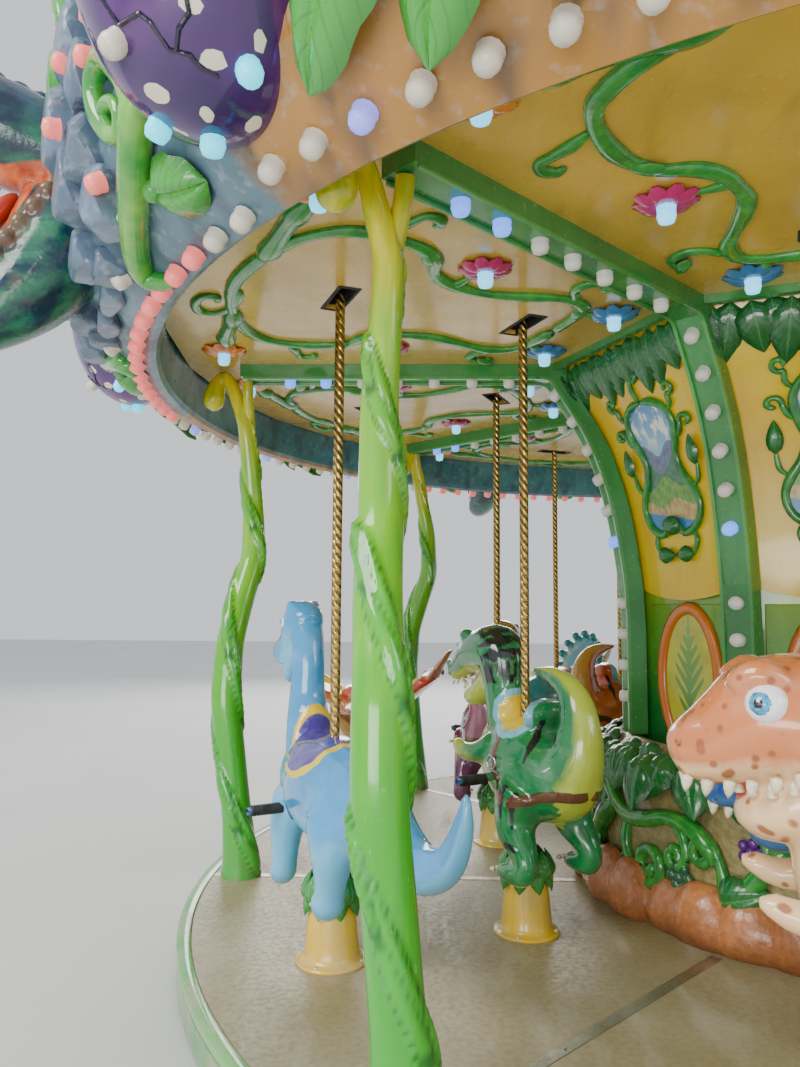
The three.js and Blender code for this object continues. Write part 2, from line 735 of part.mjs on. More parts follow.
function horned() {
  return rider([
    spine(
      [
        [250, 650, 80], [160, 640, 172], [0, 620, 198], [-200, 600, 185],
        [-350, 555, 122], [-490, 480, 72], [-600, 440, 38], [-670, 450, 10],
      ],
      { wide: 0.9 },
    ),
    spine([[215, 720, 110], [330, 780, 132], [450, 750, 98], [560, 695, 58], [605, 675, 22]]),
    ball(42, 215, 210, 255, 0, 880, 0.35, 8, 6),
    pair([[370, 55, 790, 46], [445, 70, 910, 28], [495, 78, 995, 8]], FLAT),
    spine([[520, 680, 44], [560, 780, 24], [580, 850, 6]], FLAT),
    pair([[175, 100, 560, 90], [195, 122, 420, 66], [192, 126, 330, 56], [215, 126, 270, 52]], FIVE),
    pair([[-205, 100, 560, 112], [-215, 122, 420, 80], [-210, 126, 330, 62], [-190, 126, 270, 58]], FIVE),
    saddle(815),
  ], [120, 530]);
}

// Where each mould rides: opposite sectors carry the same pair
const LOW_HEAD = -230;
const moulds = {
  longneck: await longneck(),
  tyrannosaur: await tyrannosaur(),
  pterosaur: await pterosaur(),
  horned: await horned(),
  bighead: await bighead(0),
  lowhead: await bighead(LOW_HEAD),
};
const line = [
  { outer: ["longneck", 0x2f8fd0], inner: ["tyrannosaur", 0x147a2e] },
  { outer: ["bighead", 0xc96a35], inner: ["lowhead", 0x173f8f] },
  { outer: ["horned", 0x1fa3b8], inner: ["tyrannosaur", 0xd0571c] },
  { outer: ["pterosaur", 0xa65a24], inner: ["tyrannosaur", 0x5c1f52] },
];
const OUTWARD_TURN = (8 * Math.PI) / 180; // figures look a little outwards of their path
const FIGURE_BORE = POLE_RADIUS + FIT / Math.cos(Math.PI / SLEEVE_SIDES);
const poleBore = upright(FIGURE_BORE, FIGURE_BORE, 0, 1500, SLEEVE_SIDES);
const pole = upright(POLE_RADIUS, POLE_RADIUS, POLE_FOOT, POLE_FOOT + POLE_LENGTH, SLEEVE_SIDES);
seats.forEach(({ name, sector, angle, x, y }) => {
  const [mould, colour] = line[sector % line.length][name];
  const label = `${name}_${sector + 1}`;
  const carrier = new THREE.Group();
  carrier.position.set(x, y, 0);
  root.add(carrier);
  const heading = angle - Math.PI / 2 + OUTWARD_TURN;
  const turnedMould = moulds[mould].rotate([0, 0, heading * DEGREES]);
  const figure = turnedMould.subtract(poleBore).translate([0, 0, DECK_TOP]);
  add(`${mould}_${label}`, figure, finish(colour, 0.25), carrier);
  add(`pole_${label}`, pole, finish(BRASS, 0.3, 0.9), carrier);
});

export default root;
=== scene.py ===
"""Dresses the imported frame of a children's dinosaur carousel with its moulded and painted pieces."""
import json
import math
import sys

import bpy
from bpy.props import FloatProperty, FloatVectorProperty, IntProperty, PointerProperty
from mathutils import Matrix, Vector, noise
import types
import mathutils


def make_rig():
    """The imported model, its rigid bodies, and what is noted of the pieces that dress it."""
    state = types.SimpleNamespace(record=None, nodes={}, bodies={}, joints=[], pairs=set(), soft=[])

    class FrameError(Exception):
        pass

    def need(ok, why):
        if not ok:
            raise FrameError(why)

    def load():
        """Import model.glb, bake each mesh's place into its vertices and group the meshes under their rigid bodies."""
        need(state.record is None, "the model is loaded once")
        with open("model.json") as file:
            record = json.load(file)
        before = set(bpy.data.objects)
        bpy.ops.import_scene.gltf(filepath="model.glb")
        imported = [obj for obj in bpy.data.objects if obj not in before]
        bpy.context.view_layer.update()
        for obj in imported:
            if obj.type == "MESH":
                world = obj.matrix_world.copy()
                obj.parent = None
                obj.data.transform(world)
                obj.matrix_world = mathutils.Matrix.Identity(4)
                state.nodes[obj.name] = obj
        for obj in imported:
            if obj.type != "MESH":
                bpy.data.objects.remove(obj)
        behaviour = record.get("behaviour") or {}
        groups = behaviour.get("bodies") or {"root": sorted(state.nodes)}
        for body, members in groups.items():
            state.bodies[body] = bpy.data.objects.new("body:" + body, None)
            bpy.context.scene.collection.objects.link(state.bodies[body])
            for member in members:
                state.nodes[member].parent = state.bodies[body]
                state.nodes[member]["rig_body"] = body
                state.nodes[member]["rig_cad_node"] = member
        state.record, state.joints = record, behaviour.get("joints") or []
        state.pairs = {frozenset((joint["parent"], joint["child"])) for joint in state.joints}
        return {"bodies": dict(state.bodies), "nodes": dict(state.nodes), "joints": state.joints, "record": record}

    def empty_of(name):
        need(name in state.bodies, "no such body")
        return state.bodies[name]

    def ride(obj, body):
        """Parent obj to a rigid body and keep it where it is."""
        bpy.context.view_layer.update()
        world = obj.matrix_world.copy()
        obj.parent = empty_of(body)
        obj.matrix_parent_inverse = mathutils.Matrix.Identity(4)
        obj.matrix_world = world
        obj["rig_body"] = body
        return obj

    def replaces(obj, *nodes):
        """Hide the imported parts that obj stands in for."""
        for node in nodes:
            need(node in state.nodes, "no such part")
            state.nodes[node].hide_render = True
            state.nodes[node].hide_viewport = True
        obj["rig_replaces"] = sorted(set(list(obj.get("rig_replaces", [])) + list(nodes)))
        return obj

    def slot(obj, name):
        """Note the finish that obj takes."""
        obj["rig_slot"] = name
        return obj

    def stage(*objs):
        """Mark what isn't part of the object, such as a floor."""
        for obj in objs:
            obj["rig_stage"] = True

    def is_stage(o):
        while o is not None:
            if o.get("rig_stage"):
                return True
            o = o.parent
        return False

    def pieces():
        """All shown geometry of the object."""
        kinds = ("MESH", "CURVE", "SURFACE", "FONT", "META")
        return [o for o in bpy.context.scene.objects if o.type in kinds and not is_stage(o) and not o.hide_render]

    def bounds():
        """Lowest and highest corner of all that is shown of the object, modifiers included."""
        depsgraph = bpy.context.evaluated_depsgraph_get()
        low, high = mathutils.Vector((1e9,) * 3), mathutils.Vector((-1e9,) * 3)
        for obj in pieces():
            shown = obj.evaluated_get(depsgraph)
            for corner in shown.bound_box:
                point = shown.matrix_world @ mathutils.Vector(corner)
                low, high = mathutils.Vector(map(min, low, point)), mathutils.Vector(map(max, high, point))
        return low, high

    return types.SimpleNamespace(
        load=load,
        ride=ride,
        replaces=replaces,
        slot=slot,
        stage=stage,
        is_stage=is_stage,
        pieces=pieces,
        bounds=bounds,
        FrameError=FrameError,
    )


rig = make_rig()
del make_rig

bl_info = {
    "name": "Dinosaur Carousel",
    "version": (1, 0, 0),
    "blender": (4, 5, 0),
    "location": "View3D > Sidebar > Carousel",
    "description": "Makes the moulded, painted and lit pieces of a children's dinosaur carousel",
    "category": "Object",
}

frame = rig.load()
CAD_BOX = [list(corner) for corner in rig.bounds()]

# Blender's noise starts from the clock unless it is given a seed
ROCK_SEED = 1795703532
noise.seed_set(ROCK_SEED)

# Sizes shared with the frame, in metres
DECK_TOP = 0.15
DECK_RADIUS = 3.04
SECTORS = 8
SECTOR = 2 * math.pi / SECTORS
MIDDLES = [(i + 0.5) * SECTOR for i in range(SECTORS)]
OUTER_ROW = 2.5
INNER_ROW = 1.683
COLUMN_RADIUS = 2.857
BEAM_UNDER = DECK_TOP + 2.445
CEILING_UNDER = DECK_TOP + 2.507
FIGURE_TURN = math.radians(8)
DRUM_RADIUS = 0.899


# Objects

def deselect():
    if bpy.context.object and bpy.context.object.mode != "OBJECT":
        bpy.ops.object.mode_set(mode="OBJECT")
    bpy.ops.object.select_all(action="DESELECT")


def pick(*objects):
    deselect()
    for obj in objects:
        obj.select_set(True)
    bpy.context.view_layer.objects.active = objects[0]


def named(name):
    obj = bpy.context.object
    obj.name = name
    obj.data.name = name
    return obj


def applied(obj, kind, **settings):
    """Adds a modifier with these settings and applies it."""
    pick(obj)
    bpy.ops.object.modifier_add(type=kind)
    modifier = obj.modifiers[-1]
    for key, value in settings.items():
        setattr(modifier, key, value)
    bpy.ops.object.modifier_apply(modifier=modifier.name)
    return obj


def closed(obj, threshold=1e-5):
    """Merges the points that meet and turns every face outwards."""
    pick(obj)
    bpy.ops.object.mode_set(mode="EDIT")
    bpy.ops.mesh.select_all(action="SELECT")
    bpy.ops.mesh.remove_doubles(threshold=threshold)
    bpy.ops.mesh.normals_make_consistent(inside=False)
    bpy.ops.object.mode_set(mode="OBJECT")
    return obj


def mended(obj, fill, threshold=1e-5):
    """Fills the open edges with this operator and closes the mesh."""
    pick(obj)
    bpy.ops.object.mode_set(mode="EDIT")
    bpy.ops.mesh.select_all(action="DESELECT")
    bpy.ops.mesh.select_non_manifold()
    fill()
    bpy.ops.object.mode_set(mode="OBJECT")
    return closed(obj, threshold)


def faced_out(obj, index=0):
    """Turns the faces of an open sheet towards +X, judged by one of them."""
    if obj.data.polygons[index].normal.x < 0:
        obj.data.flip_normals()
    return obj


def smooth(obj, degrees=35):
    pick(obj)
    bpy.ops.object.shade_smooth_by_angle(angle=math.radians(degrees))
    return obj


def joined(objects, name):
    pick(*objects)
    if len(objects) > 1:
        bpy.ops.object.join()
    return named(name)


def copied(obj, matrix, name=None):
    """A copy with its own mesh, moved in the mesh itself."""
    other = obj.copy()
    other.data = obj.data.copy()
    if name:
        other.name = other.data.name = name
    other.data.transform(matrix)
    if matrix.determinant() < 0:
        other.data.flip_normals()
    bpy.context.collection.objects.link(other)
    return other


def cleared(*objects):
    """Removes models that were only there to be copied."""
    for obj in objects:
        mesh = obj.data
        bpy.data.objects.remove(obj)
        bpy.data.meshes.remove(mesh)


def spread(obj, places):
    """A copy at each place. The model itself goes."""
    made = [copied(obj, place) for place in places]
    cleared(obj)
    return made


def painted(obj, material):
    obj.data.materials.clear()
    obj.data.materials.append(material)
    return obj


def turn(angle, x=0.0, y=0.0, z=0.0):
    return Matrix.Translation((x, y, z)) @ Matrix.Rotation(angle, 4, "Z")


def rotation(degrees, axis="Z"):
    return Matrix.Rotation(math.radians(degrees), 4, axis)


def polar(radius, angle, height=0.0):
    return Vector((radius * math.cos(angle), radius * math.sin(angle), height))


def around(models, name, angles=None):
    """The same models at each turn round the ride, as one piece."""
    angles = angles if angles is not None else [i * SECTOR for i in range(SECTORS)]
    copies = [copied(model, turn(angle)) for angle in angles for model in models]
    cleared(*models)
    return joined(copies, name)


def placed(obj, body, slot, *replaced):
    """Hands a finished piece to the frame."""
    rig.ride(obj, body)
    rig.slot(obj, slot)
    if replaced:
        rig.replaces(obj, *replaced)
    return obj


def ringed(models, name, degrees, material, slot, *replaced, turns=None):
    """Models repeated round the turntable as one finished piece."""
    obj = smooth(around(models, name, turns), degrees)
    return placed(painted(obj, material), "turntable", slot, *replaced)


# Lines, sheets and turned bodies

def spline(points, t):
    """The value at t, from 0 to 1, on a smooth line through tuples of one length."""
    last = len(points) - 1
    at = min(max(t, 0.0), 1.0) * last
    i = min(int(at), last - 1)
    f = at - i
    before, start = points[max(i - 1, 0)], points[i]
    end, after = points[i + 1], points[min(i + 2, last)]
    return tuple(
        0.5 * (2 * b + (c - a) * f + (2 * a - 5 * b + 4 * c - d) * f * f + (3 * b - a - 3 * c + d) * f ** 3)
        for a, b, c, d in zip(before, start, end, after)
    )


def line_out(line, v):
    """The way out of a wall whose section is this line of (radius, height), read downwards."""
    near, far = spline(line, max(v - 0.02, 0)), spline(line, min(v + 0.02, 1))
    along = Vector((far[0] - near[0], 0, far[1] - near[1])).normalized()
    return Vector((-along.z, 0, along.x))


def ease(value, low, high):
    t = min(max((value - low) / (high - low), 0.0), 1.0)
    return t * t * (3 - 2 * t)


def sheet(name, across, along, place):
    """A grid primitive with each point moved to place(u, v), both from 0 to 1."""
    deselect()
    bpy.ops.mesh.primitive_grid_add(x_subdivisions=across, y_subdivisions=along, size=2)
    obj = named(name)
    for point in obj.data.vertices:
        point.co = place((point.co.x + 1) / 2, (point.co.y + 1) / 2)
    return obj


def tube(name, stations, sides=8, rings=24, flat=1.0, side=(0, 1, 0), carried=False, swell=None):
    """A closed round body along a smooth line of (x, y, z, radius) stations.

    flat scales its section along the side direction, which stays fixed or is carried along the line.
    swell(angle, t) adds to its radius.
    """
    points = [spline(stations, j / rings) for j in range(rings + 1)]
    centres = [Vector(p[:3]) for p in points]
    reference = Vector(side)
    frames = []
    for j in range(rings + 1):
        along = (centres[min(j + 1, rings)] - centres[max(j - 1, 0)]).normalized()
        across = reference - along * reference.dot(along)
        across = along.orthogonal() if across.length < 1e-3 else across
        across.normalize()
        frames.append((across, along.cross(across)))
        if carried:
            reference = across.copy()

    def place(u, v):
        j = round(v * rings)
        if j in (0, rings):
            return centres[j]
        angle = u * 2 * math.pi
        radius = points[j][3] + (swell(angle, v) if swell else 0.0)
        return (centres[j] + frames[j][0] * (radius * flat * math.cos(angle))
                + frames[j][1] * (radius * math.sin(angle)))

    return closed(sheet(name, sides, rings, place))


def lathe(name, profile, steps, rough=None):
    """A ring or solid turned from a closed line of (radius, height) points."""
    rows = len(profile)

    def place(u, v):
        row = round(v * rows) % rows
        radius, height = profile[row]
        step = round(u * steps) % steps
        if rough and radius > 1e-6:
            radius += rough(step, row)
        return polar(radius, step * 2 * math.pi / steps, height)

    return closed(sheet(name, steps, rows, place), 1e-6)


def ball(name, centre, radii, segments=16, rings=10, tilt=0.0):
    """A rounded body, tipped by tilt about the Y axis."""
    deselect()
    bpy.ops.mesh.primitive_uv_sphere_add(segments=segments, ring_count=rings, radius=1)
    obj = named(name)
    size = Matrix.Diagonal((*radii, 1))
    obj.data.transform(Matrix.Translation(centre) @ Matrix.Rotation(tilt, 4, "Y") @ size)
    return obj


def block(name, low, high, bevel=0.0, segments=2):
    deselect()
    bpy.ops.mesh.primitive_cube_add(size=1)
    obj = named(name)
    middle = [(a + b) / 2 for a, b in zip(low, high)]
    obj.data.transform(Matrix.Translation(middle) @ Matrix.Diagonal((*[b - a for a, b in zip(low, high)],
                                                                     1)))
    if bevel:
        applied(obj, "BEVEL", width=bevel, segments=segments)
    return obj


def melted(objects, name, voxel, faces, rounds=6):
    """Bodies run together into one moulded skin of about this many triangles."""
    obj = joined(objects, name)
    applied(obj, "REMESH", mode="VOXEL", voxel_size=voxel)
    applied(obj, "SMOOTH", factor=0.5, iterations=rounds)
    triangles = 2 * len(obj.data.polygons)
    if triangles > faces:
        applied(obj, "DECIMATE", ratio=faces / triangles)
    pick(obj)
    bpy.ops.object.shade_smooth()
    return obj


def marked(obj, name, value):
    """Stores value(point) on each point of the mesh, for its material to read."""
    if name in obj.data.attributes:
        obj.data.attributes.remove(obj.data.attributes[name])
    layer = obj.data.attributes.new(name, "FLOAT", "POINT")
    layer.data.foreach_set("value", [value(point.co) for point in obj.data.vertices])
    return obj


# Materials

class Paint:
    """One procedural material, built up from named patterns."""

    def __init__(self, name, roughness=0.3, metallic=0.0, coat=0.0):
        self.material = bpy.data.materials.new(name)
        self.material.use_nodes = True
        self.tree = self.material.node_tree
        self.shader = next(n for n in self.tree.nodes if n.type == "BSDF_PRINCIPLED")
        self.shader.inputs["Roughness"].default_value = roughness
        self.shader.inputs["Metallic"].default_value = metallic
        self.shader.inputs["Coat Weight"].default_value = coat
        self.shader.inputs["Coat Roughness"].default_value = 0.08
        self.where = self.node("ShaderNodeTexCoord").outputs["Object"]

    def node(self, kind, **settings):
        made = self.tree.nodes.new(kind)
        for key, value in settings.items():
            setattr(made, key, value)
        return made

    def put(self, socket, value):
        if isinstance(value, bpy.types.NodeSocket):
            self.tree.links.new(value, socket)
        else:
            socket.default_value = value if isinstance(value, (int, float)) else rgba(value)

    def stretched(self, scale):
        made = self.node("ShaderNodeMapping")
        self.put(made.inputs["Vector"], self.where)
        made.inputs["Scale"].default_value = scale
        return made.outputs["Vector"]

    def grain(self, scale, detail=3.0, stretch=None, where=None):
        made = self.node("ShaderNodeTexNoise")
        made.inputs["Scale"].default_value = scale
        made.inputs["Detail"].default_value = detail
        self.put(made.inputs["Vector"], where or (self.stretched(stretch) if stretch else self.where))
        return made.outputs["Fac"]

    def cells(self, scale, feature="DISTANCE_TO_EDGE"):
        made = self.node("ShaderNodeTexVoronoi", feature=feature)
        made.inputs["Scale"].default_value = scale
        self.put(made.inputs["Vector"], self.where)
        return made.outputs["Distance"]

    def span(self, value, low, high, to_low=0.0, to_high=1.0):
        made = self.node("ShaderNodeMapRange")
        self.put(made.inputs["Value"], value)
        for key, number in (("From Min", low), ("From Max", high), ("To Min", to_low), ("To Max", to_high)):
            made.inputs[key].default_value = number
        return made.outputs["Result"]

    def sum(self, kind, a, b=0.0):
        made = self.node("ShaderNodeMath", operation=kind)
        self.put(made.inputs[0], a)
        self.put(made.inputs[1], b)
        return made.outputs[0]

    def times(self, a, b):
        return self.sum("MULTIPLY", a, b)

    def mottle(self, scale, detail, low, high, to_low=0.0, to_high=1.0, stretch=None):
        """Cloudy patches: grain between two of its levels."""
        return self.span(self.grain(scale, detail, stretch), low, high, to_low, to_high)

    def blend(self, amount, below, above, kind="MIX"):
        made = self.node("ShaderNodeMix", data_type="RGBA", blend_type=kind)
        self.put(made.inputs[0], amount)
        self.put(made.inputs[6], below)
        self.put(made.inputs[7], above)
        return made.outputs[2]

    def ramp(self, amount, stops):
        made = self.node("ShaderNodeValToRGB")
        self.put(made.inputs["Fac"], amount)
        band = made.color_ramp
        while len(band.elements) < len(stops):
            band.elements.new(0.5)
        for element, (at, colour) in zip(band.elements, stops):
            element.position = at
            element.color = rgba(colour)
        return made.outputs["Color"]

    def mark(self, name):
        return self.node("ShaderNodeAttribute", attribute_name=name).outputs["Fac"]

    def axis(self, which):
        made = self.node("ShaderNodeSeparateXYZ")
        self.put(made.inputs[0], self.where)
        return made.outputs[which]

    def chart(self, which):
        made = self.node("ShaderNodeSeparateXYZ")
        self.put(made.inputs[0], self.node("ShaderNodeUVMap", uv_map="UVMap").outputs[0])
        return made.outputs[which]

    def colour(self, value):
        self.put(self.shader.inputs["Base Color"], value)
        self.tone = value
        return self

    def over(self, amount, tone, kind="MIX"):
        """Lays another tone over the colour so far."""
        return self.colour(self.blend(amount, self.tone, tone, kind))

    def rough(self, value):
        self.put(self.shader.inputs["Roughness"], value)
        return self

    def relief(self, height, strength=0.2, depth=0.002):
        made = self.node("ShaderNodeBump")
        made.inputs["Strength"].default_value = strength
        made.inputs["Distance"].default_value = depth
        self.put(made.inputs["Height"], height)
        self.put(self.shader.inputs["Normal"], made.outputs["Normal"])
        return self


def rgba(colour):
    return (*colour[:3], 1.0)


def shade(colour, factor):
    return tuple(min(c * factor, 1.0) for c in colour[:3])


def tint(colour, other, amount):
    return tuple(a + (b - a) * amount for a, b in zip(colour[:3], other[:3]))


def gloss_layers(paint, base, wear=1.0, low=0.1, high=0.26):
    """Brushed paint under clear varnish: cloudy colour, fine streaks, dull scuffs and dust near the deck."""
    cloud = paint.mottle(2.6, 4.0, 0.32, 0.68)
    streak = paint.mottle(34.0, 3.0, 0.35, 0.65, stretch=(1.0, 1.0, 0.12))
    paint.colour(paint.blend(paint.times(cloud, 0.35), base, (0.02, 0.03, 0.02), "OVERLAY"))
    paint.over(paint.times(streak, 0.16), (1.0, 0.98, 0.86), "SOFT_LIGHT")
    scuff = paint.mottle(58.0, 5.0, 0.64, 0.74)
    paint.over(paint.times(scuff, 0.22 * wear), (0.62, 0.6, 0.52))
    low_down = paint.span(paint.axis("Z"), DECK_TOP + 0.02, DECK_TOP + 0.34, 1.0, 0.0)
    dust = paint.times(low_down, paint.span(paint.grain(9.0, 5.0), 0.36, 0.72, 0.0, 0.42 * wear))
    paint.over(dust, (0.4, 0.36, 0.27))
    dull = paint.sum("MAXIMUM", paint.sum("MAXIMUM", scuff, dust), paint.span(cloud, 0.0, 1.0, 0.0, 0.35))
    paint.rough(paint.span(dull, 0.0, 1.0, low, high + 0.25))
    orange_peel = paint.sum("ADD", paint.grain(90.0, 2.0), paint.times(streak, 0.5))
    paint.relief(orange_peel, 0.1, 0.0012)
    return paint


def gloss(name, base, wear=1.0, coat=0.5):
    return gloss_layers(Paint(name, coat=coat), base, wear).material


def graded(name, stops, low, high):
    """Gloss paint that changes colour with height."""
    paint = Paint(name, coat=0.5)
    drift = paint.sum("ADD", paint.axis("Z"), paint.mottle(3.0, 2.0, 0.0, 1.0, -0.12, 0.12))
    base = paint.ramp(paint.span(drift, low, high), stops)
    return gloss_layers(paint, base, 0.7).material


def leafy(name, base, vein):
    """A moulded leaf: a pale midrib and side veins on its own UV map, and a darker rim."""
    paint = Paint(name, coat=0.6)
    across = paint.sum("ABSOLUTE", paint.sum("SUBTRACT", paint.chart("X"), 0.5))
    along = paint.chart("Y")
    rib = paint.span(across, 0.012, 0.045, 1.0, 0.0)
    slant = paint.sum("SUBTRACT", along, paint.times(across, 0.55))
    comb = paint.sum("SINE", paint.times(slant, 50.0))
    side_veins = paint.span(comb, 0.8, 1.0)
    rim = paint.span(across, 0.3, 0.5, 0.0, 0.75)
    paint.colour(paint.blend(rim, base, shade(base, 0.42)))
    paint.over(paint.times(side_veins, 0.4), shade(base, 0.5))
    paint.over(paint.times(rib, 0.7), vein)
    paint.over(paint.mottle(7.0, 3.0, 0.3, 0.7, 0.0, 0.35), shade(base, 0.55))
    paint.rough(paint.mottle(26.0, 4.0, 0.3, 0.75, 0.1, 0.36))
    height = paint.sum("SUBTRACT", paint.span(across, 0.0, 0.06, 0.0, 1.0), paint.times(side_veins, 0.5))
    paint.relief(height, 0.5, 0.004)
    return paint.material


def lamp(name, colour, strength):
    """A translucent lamp cap, lit from inside."""
    paint = Paint(name, roughness=0.28)
    glow = paint.mottle(60.0, 2.0, 0.3, 0.7, 0.86, 1.0)
    paint.colour(paint.blend(glow, shade(colour, 0.72), colour))
    paint.shader.inputs["Subsurface Weight"].default_value = 0.25
    paint.shader.inputs["Subsurface Radius"].default_value = (0.02, 0.02, 0.02)
    paint.shader.inputs["Emission Color"].default_value = rgba(colour)
    paint.shader.inputs["Emission Strength"].default_value = strength
    paint.rough(paint.mottle(120.0, 2.0, 0.3, 0.7, 0.18, 0.38))
    paint.relief(paint.grain(150.0, 1.0), 0.12, 0.0008)
    return paint.material


def metal(name, colour, roughness=0.35):
    paint = Paint(name, metallic=1.0)
    lines = paint.mottle(70.0, 3.0, 0.3, 0.7, stretch=(1.0, 1.0, 0.05))
    stain = paint.mottle(6.0, 5.0, 0.45, 0.75)
    paint.colour(paint.blend(paint.times(lines, 0.35), colour, shade(colour, 0.6)))
    paint.over(paint.times(stain, 0.5), shade(colour, 0.35))
    paint.rough(paint.span(lines, 0.0, 1.0, roughness - 0.1, roughness + 0.12))
    paint.relief(lines, 0.15, 0.0006)
    return paint.material


# Settings

def size(name, description, default, unit="LENGTH", **more):
    return FloatProperty(name=name, description=description, default=default, unit=unit, **more)


def swatch(name, description, default):
    return FloatVectorProperty(
        name=name, description=description, default=default, size=3, min=0.0, max=1.0, subtype="COLOR"
    )


class CarouselSizes(bpy.types.PropertyGroup):
    lamp_radius: size("Lamp radius", "Radius of a lamp cap", 0.029)
    lamp_height: size("Lamp height", "How far a lamp cap stands out", 0.046)
    vine_radius: size("Vine radius", "Radius of the vines under the ceiling", 0.029)
    leaf_thickness: size("Leaf thickness", "Thickness of a moulded leaf", 0.01)
    pole_radius: size("Pole radius", "Radius of a figure's pole", 0.019)
    rope_pitch: size("Rope pitch", "Length of one strand's twist on a pole", 0.036)
    skin_detail: size("Skin detail", "Size of the cells a figure's skin is moulded from", 0.011)
    floor_size: size("Floor size", "Side of the studio floor", 60.0)
    figure_faces: IntProperty(
        name="Figure faces", description="Most triangles in one figure's skin", default=13000, min=2000
    )


class CarouselColours(bpy.types.PropertyGroup):
    leaf: swatch("Leaf", "Leaves and ceiling vines", (0.025, 0.27, 0.05))
    lime: swatch("Lime", "Upper part of the vine columns", (0.33, 0.64, 0.02))
    yellow: swatch("Yellow", "Flared panels, pedestals and column tops", (0.83, 0.58, 0.012))
    ochre: swatch("Ochre", "Ceiling panels", (0.72, 0.44, 0.055))
    deck: swatch("Deck", "Worn deck coating", (0.33, 0.27, 0.12))
    sand: swatch("Sand", "Rock at the foot of the centre", (0.33, 0.27, 0.085))
    clay: swatch("Clay", "Ring of stones round the centre", (0.56, 0.19, 0.06))
    brass: swatch("Brass", "Figure poles", (0.62, 0.42, 0.13))


# Studio

def light(name, where, aim, sides, power, colour):
    deselect()
    bpy.ops.object.light_add(type="AREA", location=where)
    lamp_object = bpy.context.object
    lamp_object.name = name
    lamp_object.data.shape = "RECTANGLE"
    lamp_object.data.size, lamp_object.data.size_y = sides
    lamp_object.data.energy = power
    lamp_object.data.color = colour
    lamp_object.rotation_euler = (Vector(aim) - Vector(where)).to_track_quat("-Z", "Y").to_euler()


class CAROUSEL_OT_stage(bpy.types.Operator):
    """Sets up the plain floor, the soft studio light and the camera"""
    bl_idname = "carousel.stage"
    bl_label = "Studio"

    def execute(self, context):
        deselect()
        side = context.scene.carousel_sizes.floor_size
        bpy.ops.mesh.primitive_plane_add(size=side, location=(0, 0, 0))
        floor = named("studio_floor")
        paint = Paint("pale_floor", roughness=0.75)
        soft = paint.mottle(0.8, 3.0, 0.3, 0.7)
        paint.colour(paint.blend(soft, (0.6, 0.6, 0.585), (0.65, 0.65, 0.64)))
        painted(floor, paint.material)
        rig.stage(floor)

        world = bpy.data.worlds.new("Studio air")
        context.scene.world = world
        world.use_nodes = True
        air = next(n for n in world.node_tree.nodes if n.type == "BACKGROUND")
        air.inputs["Color"].default_value = (0.9, 0.94, 1.0, 1.0)
        air.inputs["Strength"].default_value = 0.95
        light("key", (-9.0, -7.5, 9.0), (0, 0, 1.2), (6.0, 6.0), 1500, (1.0, 0.97, 0.92))
        light("fill", (9.0, -8.0, 5.0), (0, 0, 1.6), (7.0, 5.0), 600, (0.95, 0.97, 1.0))
        light("back", (-2.0, 11.0, 6.0), (0, 0, 1.2), (8.0, 5.0), 900, (1.0, 0.99, 0.96))
        light("low_front", (-4.2, -8.5, 1.0), (-0.6, 0, 2.2), (5.0, 1.6), 240, (1.0, 0.99, 0.95))

        yaw, pitch, roll = math.radians(-1.51), math.radians(4.972), math.radians(0.3836)
        ahead = Vector((math.cos(pitch) * math.sin(yaw), math.cos(pitch) * math.cos(yaw), math.sin(pitch)))
        right = Vector((math.cos(yaw), -math.sin(yaw), 0))
        up = right.cross(ahead)
        right_rolled = right * math.cos(roll) + up * math.sin(roll)
        up_rolled = up * math.cos(roll) - right * math.sin(roll)
        axes = Matrix((right_rolled, up_rolled, -ahead)).transposed().to_4x4()
        bpy.ops.object.camera_add()
        camera = bpy.context.object
        camera.name = "photo_view"
        camera.matrix_world = Matrix.Translation((-1.98347, -4.16601, 1.45)) @ axes
        camera.data.sensor_fit = "AUTO"
        camera.data.sensor_width = 36.0
        camera.data.lens = 28.295
        camera.data.clip_start = 0.02
        context.scene.camera = camera
        return {"FINISHED"}


# Ground frame, post and deck

class CAROUSEL_OT_frame_metal(bpy.types.Operator):
    """Finishes the ground frame, the centre post and the turning tube"""
    bl_idname = "carousel.frame_metal"
    bl_label = "Frame metal"

    def execute(self, context):
        nodes = frame["nodes"]
        painted(nodes["ground_frame"], metal("primed_steel", (0.2, 0.21, 0.22), 0.5))
        turned = metal("turned_steel", (0.55, 0.56, 0.58))
        painted(nodes["centre_post"], turned)
        painted(nodes["centre_tube"], turned)
        return {"FINISHED"}


def deck_paint(colour):
    paint = Paint("worn_deck", roughness=0.6)
    cloud = paint.mottle(1.3, 6.0, 0.32, 0.7)
    speck = paint.mottle(46.0, 6.0, 0.4, 0.66)
    scuff = paint.mottle(7.0, 7.0, 0.52, 0.7, stretch=(1.0, 0.35, 1.0))
    paint.colour(paint.blend(cloud, shade(colour, 0.78), tint(colour, (0.46, 0.42, 0.3), 0.65)))
    paint.over(paint.times(speck, 0.3), shade(colour, 0.55))
    paint.over(paint.times(scuff, 0.45), (0.5, 0.47, 0.38))
    paint.rough(paint.span(paint.sum("ADD", scuff, speck), 0.0, 2.0, 0.38, 0.72))
    grit = paint.sum("ADD", paint.grain(240.0, 4.0), paint.times(scuff, 0.6))
    return paint.relief(grit, 0.3, 0.0012).material


